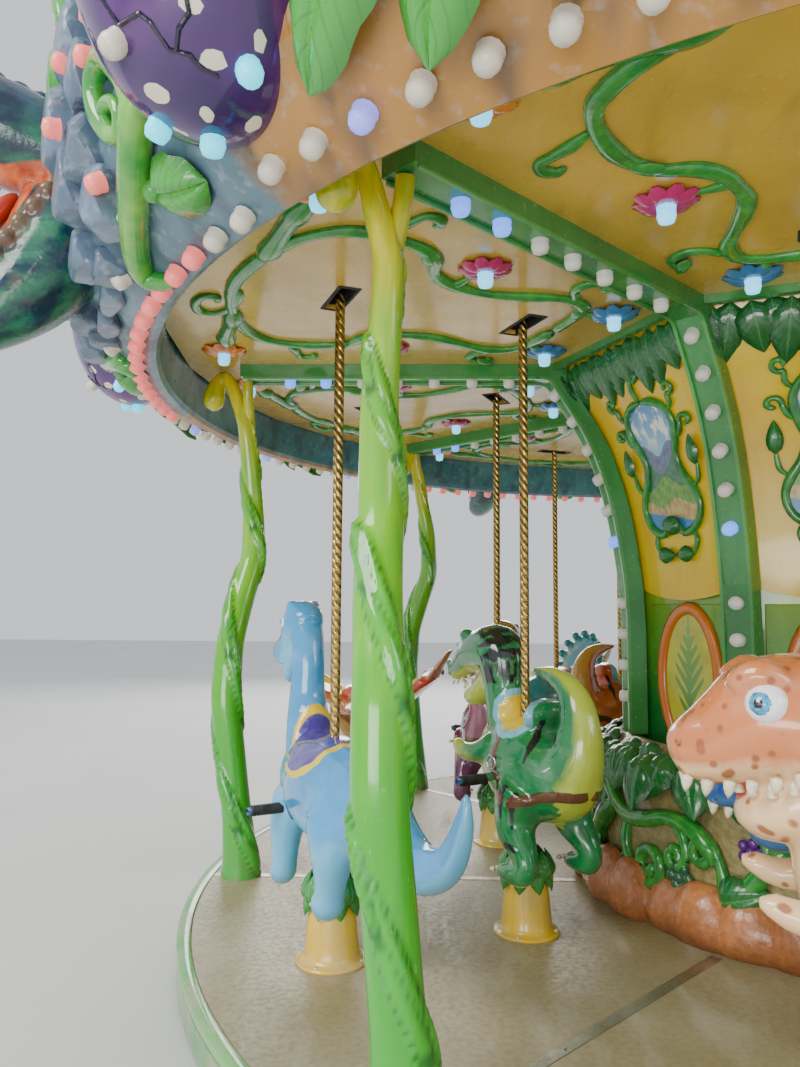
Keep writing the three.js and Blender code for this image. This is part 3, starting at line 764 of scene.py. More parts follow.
class CAROUSEL_OT_deck(bpy.types.Operator):
    """Makes the coated deck with its seam strips, edge band and skirt"""
    bl_idname = "carousel.deck"
    bl_label = "Deck"

    def execute(self, context):
        colours = context.scene.carousel_colours
        inner, outer = 0.151, DECK_RADIUS - 0.056
        floor = lathe("deck_floor", [
            (inner, 0.112), (outer, 0.112), (outer, DECK_TOP - 0.003), (outer - 0.003, DECK_TOP),
            (2.2, DECK_TOP), (1.3, DECK_TOP), (inner, DECK_TOP),
        ], 192)
        placed(painted(smooth(floor), deck_paint(colours.deck)), "turntable", "deck_coating", "deck")

        strip = block("seam", (1.24, -0.022, DECK_TOP - 0.001), (outer - 0.004, 0.022, DECK_TOP + 0.0025),
                      0.001, 1)
        screw = ball("screw", (1.4, 0, DECK_TOP + 0.0026), (0.008, 0.008, 0.0022), 8, 4)
        screws = spread(screw, [Matrix.Translation((0.2 * i, 0, 0)) for i in range(8)])
        ringed([strip, *screws], "deck_seam_strips", 35, metal("seam_metal", (0.5, 0.47, 0.38), 0.45),
               "deck_coating")

        edge = lathe("deck_edge_band", [
            (outer + 0.002, DECK_TOP - 0.03), (DECK_RADIUS - 0.004, DECK_TOP - 0.03),
            (DECK_RADIUS, DECK_TOP - 0.022),
            (DECK_RADIUS, DECK_TOP - 0.004), (DECK_RADIUS - 0.004, DECK_TOP + 0.002),
            (DECK_RADIUS - 0.03, DECK_TOP + 0.004),
            (outer + 0.006, DECK_TOP + 0.003), (outer + 0.002, DECK_TOP),
        ], 192)
        placed(painted(smooth(edge, 60), gloss("edge_green", (0.11, 0.48, 0.1), 1.6, 0.2)), "turntable",
               "green_gloss")
        skirt = lathe("deck_skirt_wall", [
            (DECK_RADIUS - 0.028, 0.016), (DECK_RADIUS - 0.008, 0.016), (DECK_RADIUS - 0.004, 0.02),
            (DECK_RADIUS - 0.003, 0.07), (DECK_RADIUS - 0.002, DECK_TOP - 0.031),
            (DECK_RADIUS - 0.028, DECK_TOP - 0.031),
        ], 192)
        placed(painted(smooth(skirt), gloss("skirt_green", (0.04, 0.33, 0.06), 2.0, 0.2)),
               "turntable", "green_gloss", "deck_skirt")
        return {"FINISHED"}


def thick(obj, thickness):
    return applied(obj, "SOLIDIFY", thickness=thickness, offset=0.0)


def leaf(name, length, width, thickness, arch, curl, rows=8, columns=6, fold=0.18, blunt=0.85):
    """A pointed leaf along +X, its stalk at the origin, that droops towards -Z and has a grooved midrib."""

    def place(u, v):
        reach = math.sin(math.pi * v ** 0.72) ** blunt if 0 < v < 1 else 0.0
        side = (u - 0.5) * 2
        crown = arch * width * (1 - side * side) * reach
        groove = fold * width * math.exp(-((side / 0.16) ** 2)) * reach * 0.5
        wave = 0.04 * width * math.cos(side * 3.0) * math.sin(v * 18.0) * abs(side) * reach
        return Vector((length * v, side * width / 2 * reach, crown - groove + wave - curl * length * v * v))

    return thick(sheet(name, columns, rows, place), thickness)


def laid(obj, at, along, out, degrees=0.0):
    """Moves a leaf so that it points along and faces out."""
    basis = Matrix((along, out.cross(along), out)).transposed().to_4x4()
    obj.data.transform(Matrix.Translation(at) @ basis @ rotation(degrees))
    return obj


class CAROUSEL_OT_pedestals(bpy.types.Operator):
    """Makes the yellow pole pedestals with their bolted flange and leaf collar"""
    bl_idname = "carousel.pedestals"
    bl_label = "Pedestals"

    def execute(self, context):
        colours = context.scene.carousel_colours
        thickness = context.scene.carousel_sizes.leaf_thickness * 0.6
        z = DECK_TOP
        bore = 0.0205
        cone = lathe("cone", [
            (bore, z + 0.0005), (0.133, z + 0.0005), (0.134, z + 0.006), (0.131, z + 0.011),
            (0.118, z + 0.015),
            (0.108, z + 0.022), (0.103, z + 0.036), (0.098, z + 0.08), (0.092, z + 0.14), (0.087, z + 0.19),
            (0.084, z + 0.215), (0.07, z + 0.262), (0.04, z + 0.286), (bore, z + 0.288),
        ], 40)
        smooth(cone, 40)
        bolt = ball("bolt", (0.119, 0, z + 0.0145), (0.0085, 0.0085, 0.006), 6, 4)
        bolts = spread(bolt, [rotation(45 + 90 * i) for i in range(4)])

        low = leaf("low_leaf", 0.125, 0.086, thickness, 0.34, 0.1)
        low.data.transform(Matrix.Translation((0.052, 0, z + 0.286)) @ rotation(60, "Y"))
        high = leaf("high_leaf", 0.105, 0.09, thickness, 0.34, 0.26)
        high.data.transform(Matrix.Translation((0.086, 0, z + 0.218)) @ rotation(-82, "Y") @ rotation(180,
                                                                                                      "X"))
        lows = spread(low, [rotation(45 * i) for i in range(8)])
        highs = spread(high, [rotation(45 * i + 22.5) for i in range(8)])
        collar = smooth(joined(lows + highs, "collar"), 50)

        painted(cone, gloss("pedestal_yellow", colours.yellow, 1.6, 0.4))
        bolts = painted(smooth(joined(bolts, "bolts")), metal("zinc_bolt", (0.6, 0.6, 0.58), 0.35))
        painted(collar, leafy("collar_leaf", (0.03, 0.3, 0.045), (0.12, 0.45, 0.08)))
        models = [cone, bolts, collar]
        copies = [copied(model, turn(angle, *polar(radius, angle))) for angle in MIDDLES
                  for radius in (OUTER_ROW, INNER_ROW) for model in models]
        cleared(*models)
        placed(joined(copies, "pedestals"), "turntable", "yellow_gloss")
        return {"FINISHED"}


# Vine columns: stations are (outwards, sideways, height above the deck, radius)
STEM = [
    (0.0, 0.0, -0.006, 0.094), (0.001, 0.0, 0.045, 0.088), (0.003, 0.0, 0.09, 0.084),
    (0.014, 0.0, 0.22, 0.076), (0.03, 0.0, 0.35, 0.071), (0.058, 0.0, 0.585, 0.07),
    (0.088, 0.0, 0.82, 0.072), (0.086, -0.008, 0.975, 0.071), (0.076, -0.02, 1.13, 0.068),
    (0.04, -0.068, 1.33, 0.065), (-0.005, -0.11, 1.53, 0.062), (-0.006, -0.116, 1.69, 0.057),
    (0.0, -0.112, 1.85, 0.052), (0.013, -0.08, 2.025, 0.046), (0.03, -0.05, 2.2, 0.041),
    (0.052, -0.048, 2.28, 0.038), (0.078, -0.05, 2.35, 0.036), (0.096, -0.051, 2.4, 0.034),
    (0.12, -0.053, 2.445, 0.034), (0.152, -0.055, 2.468, 0.035), (0.18, -0.057, 2.44, 0.04),
    (0.196, -0.059, 2.4, 0.05), (0.202, -0.06, 2.36, 0.055), (0.201, -0.06, 2.322, 0.044),
    (0.2, -0.06, 2.298, 0.012),
]
SHOOT = [
    (-0.004, -0.108, 1.8, 0.03), (0.004, -0.1, 1.95, 0.034), (0.01, -0.08, 2.11, 0.032),
    (0.014, -0.045, 2.26, 0.029), (0.016, -0.01, 2.37, 0.027), (0.016, 0.0, 2.442, 0.027),
]
# Where leaves wrap the stem: half height, ridge and the line as (turn from outwards in degrees, height)
WRAPS = [
    (0.092, 0.017, [(-48, 2.03), (12, 1.92), (74, 1.795), (136, 1.65), (196, 1.43)]),
    (0.112, 0.021, [(-48, 1.52), (12, 1.41), (74, 1.215), (136, 0.98), (198, 0.69)]),
    (0.12, 0.022, [(-48, 0.85), (12, 0.6), (74, 0.365), (136, 0.16), (196, 0.03)]),
    (0.055, 0.012, [(140, 2.24), (166, 2.11), (200, 1.95)]),
]
WRAP_TOP = 2.24


def wrap_swell(degrees, height):
    """How far the leaves stand out of the stem here, and how dark the painted shade is here, in the folds and on the
    lines between and along the leaves.
    """
    rise, crease = 0.0, 0.0
    for half, ridge, line in WRAPS:
        first, last = line[0][0], line[-1][0]
        for lap in (-360, 0, 360):
            t = (degrees + lap - first) / (last - first)
            if not 0 < t < 1:
                continue
            at = next(i for i in range(len(line) - 1)
                      if degrees + lap <= line[i + 1][0] or i == len(line) - 2)
            (d0, z0), (d1, z1) = line[at], line[at + 1]
            middle = z0 + (z1 - z0) * (degrees + lap - d0) / (d1 - d0)
            taper = min(1.0, (t / 0.3) ** 0.7, ((1 - t) / 0.14) ** 0.6)
            off = (height - middle) / (half * taper)
            if abs(off) >= 1:
                continue
            lobe = t * 3 + 0.42 * abs(off)
            part = lobe - math.floor(lobe)
            body = (1 - abs(off) ** 5) * min(1.0, t / 0.08, (1 - t) / 0.05)
            fold = math.exp(-((off - 0.1) / 0.1) ** 2)
            rise = max(rise, ridge * body * (0.5 + 0.5 * math.sin(math.pi * part)) * (1 - 0.34 * fold))
            # painted shade: dark on the lines between leaf lobes, towards the leaf edges and along each leaf's fold
            line_dark = max(1 - ease(min(part, 1 - part), 0.02, 0.13), ease(abs(off), 0.78, 0.95),
                            0.75 * fold)
            crease = max(crease, line_dark)
    return rise, crease


def column_paint(colours):
    paint = Paint("vine_column_paint", coat=0.4)
    drift = paint.sum("ADD", paint.axis("Z"), paint.mottle(2.4, 3.0, 0.0, 1.0, -0.1, 0.1))
    height = paint.span(drift, DECK_TOP, DECK_TOP + 2.46)
    green, lime, yellow = colours.leaf, colours.lime, colours.yellow
    base = paint.ramp(height, [
        (0.0, tint(green, (0.05, 0.42, 0.03), 0.75)), (0.3, (0.05, 0.4, 0.012)),
        (0.6, tint(lime, (0.1, 0.46, 0.01), 0.6)), (0.8, lime), (0.9, tint(lime, yellow, 0.6)),
        (1.0, yellow),
    ])
    streak = paint.mottle(30.0, 4.0, 0.35, 0.68, stretch=(1.0, 1.0, 0.05))
    paint.colour(paint.blend(paint.times(streak, 0.5), base, (0.02, 0.3, 0.02)))
    paint.over(paint.times(paint.mark("leaf"), 0.55), (0.045, 0.4, 0.03))
    # painted shade: very dark green in the folds and on the lines of the leaf wraps
    paint.over(paint.times(paint.mark("crease"), 0.85), (0.008, 0.12, 0.02))
    scratch = paint.mottle(70.0, 6.0, 0.66, 0.74, stretch=(1.0, 1.0, 0.4))
    paint.over(paint.times(scratch, 0.2), (0.55, 0.6, 0.35))
    low_down = paint.span(paint.axis("Z"), DECK_TOP, DECK_TOP + 0.22, 1.0, 0.0)
    paint.over(paint.times(low_down, paint.mottle(14.0, 5.0, 0.35, 0.7, 0.0, 0.5)), (0.22, 0.2, 0.1))
    paint.rough(paint.span(paint.sum("ADD", streak, scratch), 0.0, 1.6, 0.11, 0.34))
    return paint.relief(paint.sum("ADD", streak, paint.grain(60.0, 2.0)), 0.12, 0.0015).material


class CAROUSEL_OT_columns(bpy.types.Operator):
    """Makes the eight vine columns with the leaves that wrap them and their curled tops"""
    bl_idname = "carousel.columns"
    bl_label = "Vine columns"

    def execute(self, context):
        colours = context.scene.carousel_colours
        rings, sides = 300, 48
        heights = [spline(STEM, j / rings) for j in range(rings + 1)]

        def swell(angle, t):
            height = heights[round(t * rings)][2]
            if height > WRAP_TOP and t > 0.6:
                return 0.0
            return wrap_swell(math.degrees(angle) % 360, height)[0]

        stem = tube("stem", STEM, sides, rings, side=(1, 0, 0), swell=swell)
        shoot = tube("shoot", SHOOT, 16, 30, side=(1, 0, 0))
        column = joined([stem, shoot], "column")
        column.data.transform(Matrix.Translation((COLUMN_RADIUS, 0, DECK_TOP)))

        def local(point):
            height = point.z - DECK_TOP
            near = min(heights[: int(rings * 0.7)], key=lambda s: abs(s[2] - height))
            return math.degrees(math.atan2(point.y - near[1],
                                           point.x - COLUMN_RADIUS - near[0])) % 360, height

        creases = {}
        for point in column.data.vertices:
            angle, height = local(point.co)
            creases[tuple(point.co)] = wrap_swell(angle, height) if height < WRAP_TOP else (0.0, 0.0)
        # the painted shade of the leaf wraps, stored on each point for the material
        marked(column, "crease", lambda co: creases[tuple(co)][1])
        marked(column, "leaf", lambda co: min(creases[tuple(co)][0] / 0.012, 1.0))
        smooth(column, 60)
        painted(column, column_paint(colours))
        for i in range(SECTORS):
            one = copied(column, turn(i * SECTOR), f"vine_stem_{i + 1}")
            placed(one, "turntable", "vine_gloss", f"vine_column_{i + 1}")
        cleared(column)
        return {"FINISHED"}


# Poles

def pole_paint(colour, pitch):
    paint = Paint("twisted_brass", metallic=1.0, roughness=0.24)
    turns = paint.times(paint.chart("X"), 4 * 2 * math.pi)
    climb = paint.times(paint.axis("Z"), 2 * math.pi / pitch)
    strand = paint.span(paint.sum("SINE", paint.sum("ADD", turns, climb)), -1.0, 1.0)
    tarnish = paint.mottle(18.0, 6.0, 0.36, 0.72)
    groove = paint.span(strand, 0.0, 0.45, 1.0, 0.0)
    paint.colour(paint.blend(paint.times(tarnish, 0.45), colour, shade(colour, 0.45)))
    # painted shade: the grooves between the twisted strands are darkened, though the pole is smooth and the strands
    # are only bumps
    paint.over(paint.times(groove, 0.75), (0.07, 0.045, 0.018))
    paint.rough(paint.span(paint.sum("ADD", tarnish, groove), 0.0, 2.0, 0.16, 0.5))
    return paint.relief(strand, 0.9, 0.003).material


class CAROUSEL_OT_poles(bpy.types.Operator):
    """Makes the twisted brass poles that carry the figures"""
    bl_idname = "carousel.poles"
    bl_label = "Poles"

    def execute(self, context):
        sizes = context.scene.carousel_sizes
        brass = pole_paint(context.scene.carousel_colours.brass, sizes.rope_pitch)
        low, high = DECK_TOP + 0.027, DECK_TOP + 2.623

        def place(u, v):
            row = round(v * 8)
            z = low + (high - low) * (row - 1) / 6 if 0 < row < 8 else (low if row == 0 else high)
            angle = u * 2 * math.pi
            radius = sizes.pole_radius if 0 < row < 8 else 0.0
            return Vector((radius * math.cos(angle), radius * math.sin(angle), z))

        pole = closed(sheet("pole", 16, 8, place))
        painted(smooth(pole, 50), brass)
        for i, angle in enumerate(MIDDLES):
            for row, radius in (("outer", OUTER_ROW), ("inner", INNER_ROW)):
                one = copied(pole, turn(angle, *polar(radius, angle)), f"rope_pole_{row}_{i + 1}")
                placed(one, f"rider_{row}_{i + 1}", "pole_brass", f"pole_{row}_{i + 1}")
        cleared(pole)
        return {"FINISHED"}


# Figures. Each mould faces +X with its pole on the Z axis, in heights above the deck.

def limb(stations, sides=14, rings=22, wide=1.0):
    """A limb in the middle plane, from (x, z, radius) stations in millimetres."""
    return tube("limb", [(x / 1000, 0, z / 1000, r / 1000) for x, z, r in stations], sides, rings, wide)


def limbs(stations, sides=12, rings=18, wide=1.0, side=(0, 1, 0)):
    """The same on both sides, from (x, y, z, radius) stations in millimetres."""
    made = []
    for way in (1, -1):
        line = [(x / 1000, way * y / 1000, z / 1000, r / 1000) for x, y, z, r in stations]
        made.append(tube("limb", line, sides, rings, wide, side))
    return made


def lumps(x, y, z, radii, tilt=0.0):
    """A rounded lump on both sides, in millimetres."""
    size = [r / 1000 for r in radii]
    return [ball("lump", (x / 1000, way * y / 1000, z / 1000), size, 14, 8, tilt) for way in (1, -1)]


def fang(root, tip, radius):
    """A slightly rounded tooth or claw from root to tip, in millimetres."""
    start, end = Vector(root) / 1000, Vector(tip) / 1000
    middle = start.lerp(end, 0.55)
    line = [(*start, radius / 1000), (*start.lerp(end, 0.2), radius / 1000), (*middle, radius * 0.8 / 1000),
            (*end, radius * 0.12 / 1000)]
    return tube("fang", line, 7, 5, 1.0, (0.3, 1, 0.2))


def fangs(roots, drop, radius):
    """Teeth on both sides of a jaw, all pointing the same way."""
    return [fang((x, way * y, z), (x + drop[0], way * y, z + drop[1]), radius)
            for x, y, z in roots for way in (1, -1)]


def eyes(x, y, z, radius, look=(0.35, 1.0, 0.12)):
    """A white ball, an iris, a pupil and, as a painted highlight, a small white glint ball on both sides."""
    whites, irises, pupils = [], [], []
    for way in (1, -1):
        out = Vector((look[0], way * look[1], look[2])).normalized()
        centre = Vector((x, way * y, z)) / 1000
        r = radius / 1000
        whites.append(ball("white", centre, (r, r, r), 18, 10))
        irises.append(ball("iris", centre + out * r * 0.42, (r * 0.68,) * 3, 16, 8))
        pupils.append(ball("pupil", centre + out * r * 0.8, (r * 0.34,) * 3, 12, 6))
        # painted highlight: a small ball in the eye-white paint, set on the eye as a glint
        glint = centre + out * r * 1.08 + Vector((-0.2, 0, 1)) * r * 0.12
        whites.append(ball("glint", glint, (r * 0.1,) * 3, 8, 5))
    return joined(whites, "whites"), joined(irises, "irises"), joined(pupils, "pupils")


def foot_bar(x, z):
    """A painted bar with ribbed grips, on both sides."""
    bar = tube("bar", [(x / 1000, y, z / 1000, 0.014) for y in (-0.262, -0.26, 0, 0.26, 0.262)], 12, 12, 1.0,
               (1, 0, 0))
    ribs = 22

    def swell(angle, t):
        return 0.0035 if round(t * ribs) % 2 else 0.0

    grips = []
    for way in (1, -1):
        line = [(x / 1000, way * y, z / 1000, 0.0185) for y in (0.14, 0.18, 0.22, 0.268)]
        grips.append(tube("grip", line, 12, ribs, 1.0, (1, 0, 0), swell=swell))
    return bar, joined(grips, "grips")


def stroke_depth(strokes, point):
    """How deep, in metres, a point is in the nearest stroke, which is a list of (x, y, z, radius)."""
    best = -1.0
    place = Vector((point.x, abs(point.y), point.z))
    for stroke in strokes:
        for first, second in zip(stroke, stroke[1:] or stroke):
            a, b = Vector(first[:3]) / 1000, Vector(second[:3]) / 1000
            span = b - a
            t = min(max((place - a).dot(span) / max(span.length_squared, 1e-9), 0.0), 1.0)
            radius = (first[3] + (second[3] - first[3]) * t) / 1000
            best = max(best, radius - (place - a - span * t).length)
    return best


def draped(obj, stroke):
    """A painted stroke with its points moved on to the skin."""
    spots = []
    for first, second in zip(stroke, stroke[1:] or stroke):
        for t in (0.0, 0.25, 0.5, 0.75, 1.0):
            x, y, z, radius = [a + (b - a) * t for a, b in zip(first, second)]
            near = obj.closest_point_on_mesh(Vector((x, y, z)) / 1000)[1] * 1000
            spots.append((near.x, abs(near.y), near.z, radius))
    return spots


def skin_marks(obj, axis, strokes, saddle, mouth, belt=None, legs=None):
    """Stores where belly, stripes, mouth, saddle and belt are, and lifts the saddle and the belt.

    legs is the span of x that keeps the back's colour below the body.
    """
    line = [spline([(x / 1000, z / 1000) for x, z in axis], i / 90) for i in range(91)]
    xc, zc, a, b = (v / 1000 for v in saddle)

    def belly(p):
        if legs and legs[0] < p.x < legs[1] and p.z < 0.62 and abs(p.y) > 0.075:
            return -1.0
        k = min(range(91), key=lambda i: (line[i][0] - p.x) ** 2 + (line[i][1] - p.z) ** 2)
        near, far = line[max(k - 1, 0)], line[min(k + 1, 90)]
        along = Vector((far[0] - near[0], 0, far[1] - near[1])).normalized()
        back = Vector((along.z, 0, -along.x))
        off = Vector((p.x - line[k][0], p.y, p.z - line[k][1]))
        return -off.normalized().dot(back) if off.length > 1e-6 else 0.0

    def seat(p):
        return (1 - math.hypot((p.x - xc) / a, (p.z - zc) / b)) * min(a, b)

    strokes = [draped(obj, stroke) for stroke in strokes]
    belts = [draped(obj, belt)] if belt else []

    def strap(p):
        return stroke_depth(belts, p)

    marked(obj, "belly", belly)
    marked(obj, "stripe", lambda p: stroke_depth(strokes, p))
    marked(obj, "mouth", lambda p: stroke_depth(mouth, p))
    marked(obj, "belt", strap)
    marked(obj, "saddle", seat)
    lifted = []
    for point in obj.data.vertices:
        s = seat(point.co)
        lift = 0.01 * ease(s, 0.0, 0.008) + 0.007 * ease(s, 0.0, 0.006) * (1 - ease(s, 0.018, 0.028))
        lift = max(lift, 0.006 * ease(strap(point.co), -0.002, 0.006))
        lifted.append(point.co + point.normal * lift)
    for point, co in zip(obj.data.vertices, lifted):
        point.co = co


def skin(name, base, belly, stripe, saddle, rim, spotted=None, belly_edge=0.45):
    """Sprayed and brushed gloss skin, coloured by the marks on its figure."""
    paint = Paint(name, coat=0.7)
    cloud = paint.mottle(5.0, 4.0, 0.35, 0.7)
    paint.colour(paint.blend(paint.times(cloud, 0.45), base, shade(base, 0.48)))
    paint.over(paint.mottle(9.0, 3.0, 0.52, 0.72, 0.0, 0.35), tint(base, (1, 1, 1), 0.25))
    wander = paint.mottle(16.0, 4.0, 0.0, 1.0, -0.14, 0.14)
    chest = paint.span(paint.sum("ADD", paint.mark("belly"), wander), belly_edge - 0.1, belly_edge + 0.14)
    paint.over(chest, belly)
    if spotted:
        paint.over(paint.span(paint.cells(24.0, "SMOOTH_F1"), 0.16, 0.26, 0.85, 0.0), spotted)
    ragged = paint.mottle(55.0, 3.0, 0.0, 1.0, -0.006, 0.006)
    marks = paint.span(paint.sum("ADD", paint.mark("stripe"), ragged), -0.002, 0.003)
    paint.over(marks, stripe)
    flesh = paint.blend(paint.mottle(20.0, 3.0, 0.3, 0.7), (0.45, 0.035, 0.03), (0.62, 0.1, 0.07))
    paint.over(paint.span(paint.mark("mouth"), -0.003, 0.003), flesh)
    leather = paint.blend(paint.span(paint.cells(160.0), 0.0, 0.06), (0.035, 0.014, 0.006),
                          (0.13, 0.05, 0.02))
    paint.over(paint.span(paint.mark("belt"), -0.001, 0.002), leather)
    worn = paint.mottle(22.0, 5.0, 0.45, 0.75, 0.0, 0.45)
    edge = paint.blend(worn, rim, shade(rim, 0.6))
    seat = paint.blend(worn, saddle, tint(saddle, (0.5, 0.5, 0.5), 0.35))
    paint.over(paint.span(paint.mark("saddle"), -0.001, 0.002), edge)
    paint.over(paint.span(paint.mark("saddle"), 0.021, 0.024), seat)
    chips = paint.mottle(70.0, 6.0, 0.7, 0.74, 0.0, 0.6)
    paint.over(chips, tint(base, (0.75, 0.72, 0.65), 0.7))
    paint.rough(paint.span(paint.sum("ADD", cloud, chips), 0.0, 1.6, 0.1, 0.32))
    height = paint.sum("ADD", paint.grain(40.0, 3.0), paint.times(marks, -0.25))
    return paint.relief(height, 0.16, 0.003).material


def figure_parts():
    """The finishes that every figure shares."""
    # also the paint of the painted highlight ball on each eye
    white = gloss("eye_white", (0.86, 0.88, 0.86), 0.2, 0.8)
    iris = Paint("iris_blue", roughness=0.12, coat=0.8)
    rays = iris.mottle(90.0, 4.0, 0.35, 0.65)
    iris.colour(iris.blend(rays, (0.02, 0.16, 0.4), (0.1, 0.45, 0.72)))
    pupil = Paint("pupil_black", roughness=0.08, coat=0.8)
    pupil.colour(pupil.blend(pupil.grain(50.0), (0.004, 0.004, 0.005), (0.02, 0.02, 0.025)))
    ivory = Paint("tooth_ivory", coat=0.5)
    stain = ivory.mottle(30.0, 4.0, 0.35, 0.7)
    ivory.colour(ivory.blend(stain, (0.82, 0.76, 0.58), (0.62, 0.5, 0.28)))
    ivory.rough(ivory.span(stain, 0.0, 1.0, 0.18, 0.42))
    rubber = Paint("grip_rubber", roughness=0.6)
    rubber.colour(rubber.blend(rubber.mottle(30.0, 5.0, 0.4, 0.7), (0.012, 0.012, 0.014),
                               (0.05, 0.048, 0.045)))
    rubber.relief(rubber.grain(180.0, 2.0), 0.3, 0.0008)
    steel = gloss("bar_blue", (0.03, 0.12, 0.32), 1.5, 0.4)
    buckle = metal("buckle_steel", (0.66, 0.66, 0.66), 0.25)
    return {"white": white, "iris": iris.material, "pupil": pupil.material, "ivory": ivory.material,
            "rubber": rubber.material, "steel": steel, "buckle": buckle}


def moulded(bodies, name, sizes):
    return melted(bodies, name, sizes.skin_detail, sizes.figure_faces, 5)


def assembled(name, skin_obj, parts, eye_set, teeth, bar, extras=()):
    """Joins a skin, eyes, teeth and foot bar into one model. Its first material is the skin's."""
    whites, irises, pupils = eye_set
    rod, grips = bar
    pairs = [(whites, "white"), (irises, "iris"), (pupils, "pupil"), (joined(teeth, "teeth"), "ivory"),
             (rod, "steel"), (grips, "rubber"), *extras]
    for obj, key in pairs:
        painted(obj, parts[key])
        pick(obj)
        bpy.ops.object.shade_smooth()
    return joined([skin_obj, *[obj for obj, key in pairs]], name)


def claws(x, y, z, spread, size):
    """Three claws at the front of the foot on each side."""
    return [fang((x, side * y + way * spread, z),
                 (x + size * 1.6, side * y + way * spread * 1.25, z - size * 0.5),
                 size * 0.6) for side in (1, -1) for way in (-1, 0, 1)]


def longneck(sizes, parts):
    bodies = [
        limb([(345, 650, 60), (300, 655, 110), (215, 640, 152), (60, 620, 190), (-120, 605, 196),
              (-290, 590, 165),
              (-460, 540, 112), (-640, 500, 82), (-790, 545, 58), (-875, 660, 38), (-900, 780, 12)], 18, 40,
             0.88),
        limb([(165, 660, 125), (235, 780, 98), (262, 880, 82), (268, 960, 72), (262, 1040, 67),
              (268, 1120, 66),
              (290, 1200, 68), (330, 1262, 40)], 16, 30),
        limb([(262, 1205, 60), (300, 1235, 84), (345, 1225, 88), (400, 1165, 72), (455, 1125, 68),
              (510, 1095, 64),
              (548, 1072, 40), (560, 1062, 12)], 16, 26, 0.95),
        limb([(330, 1150, 40), (390, 1075, 44), (430, 1030, 42), (452, 990, 26), (458, 975, 8)], 12, 14,
             1.15),
        *limbs([(190, 70, 600, 90), (212, 96, 470, 74), (216, 104, 390, 60), (214, 106, 320, 50),
                (228, 106, 280, 54),
                (262, 106, 258, 44), (275, 106, 252, 20)]),
        *limbs([(-195, 76, 600, 118), (-222, 98, 470, 90), (-212, 104, 380, 64), (-198, 104, 310, 54),
                (-185, 104, 275, 62), (-150, 104, 255, 48), (-130, 104, 250, 18)]),
        *lumps(330, 48, 1292, (36, 28, 34)),
        *lumps(515, 34, 1098, (26, 22, 20)),
    ]
    skin_obj = moulded(bodies, "longneck_skin", sizes)
    axis = [(560, 1062), (455, 1125), (345, 1235), (272, 1120), (268, 960), (225, 790), (120, 690),
            (-20, 640),
            (-290, 590), (-460, 540), (-640, 500), (-790, 545), (-875, 660), (-900, 790)]
    mouth = [[(360, 0, 1105, 24), (430, 0, 1062, 24), (470, 0, 1040, 22)]]
    strokes = [[(540, 30, 1098, 8)],
               [(112, 104, 765, 18), (116, 141, 700, 18), (118, 155, 628, 18), (118, 143, 560, 18),
                (116, 112, 500, 17)]]
    skin_marks(skin_obj, axis, strokes, (15, 850, 185, 182), mouth)
    eye_set = eyes(352, 62, 1232, 27)
    toes = claws(278, 106, 262, 26, 16) + claws(-132, 104, 260, 28, 16)
    return assembled("longneck", skin_obj, parts, eye_set, toes, foot_bar(165, 530))


def cantle(height):
    """The raised back of a moulded seat, rooted in the figure's back."""
    return ball("cantle", (-0.15, 0, height), (0.042, 0.105, 0.062), 16, 10, -0.4)


BIPED_SPAN = (-0.3, 0.03)
BIPED_LEGS = [(-150, 98, 620, 122), (-118, 122, 520, 100), (-128, 145, 440, 78), (-190, 155, 370, 54),
              (-208, 160, 325, 46), (-190, 162, 296, 50), (-130, 164, 286, 44), (-70, 166, 278, 30),
              (-40, 167, 274, 10)]


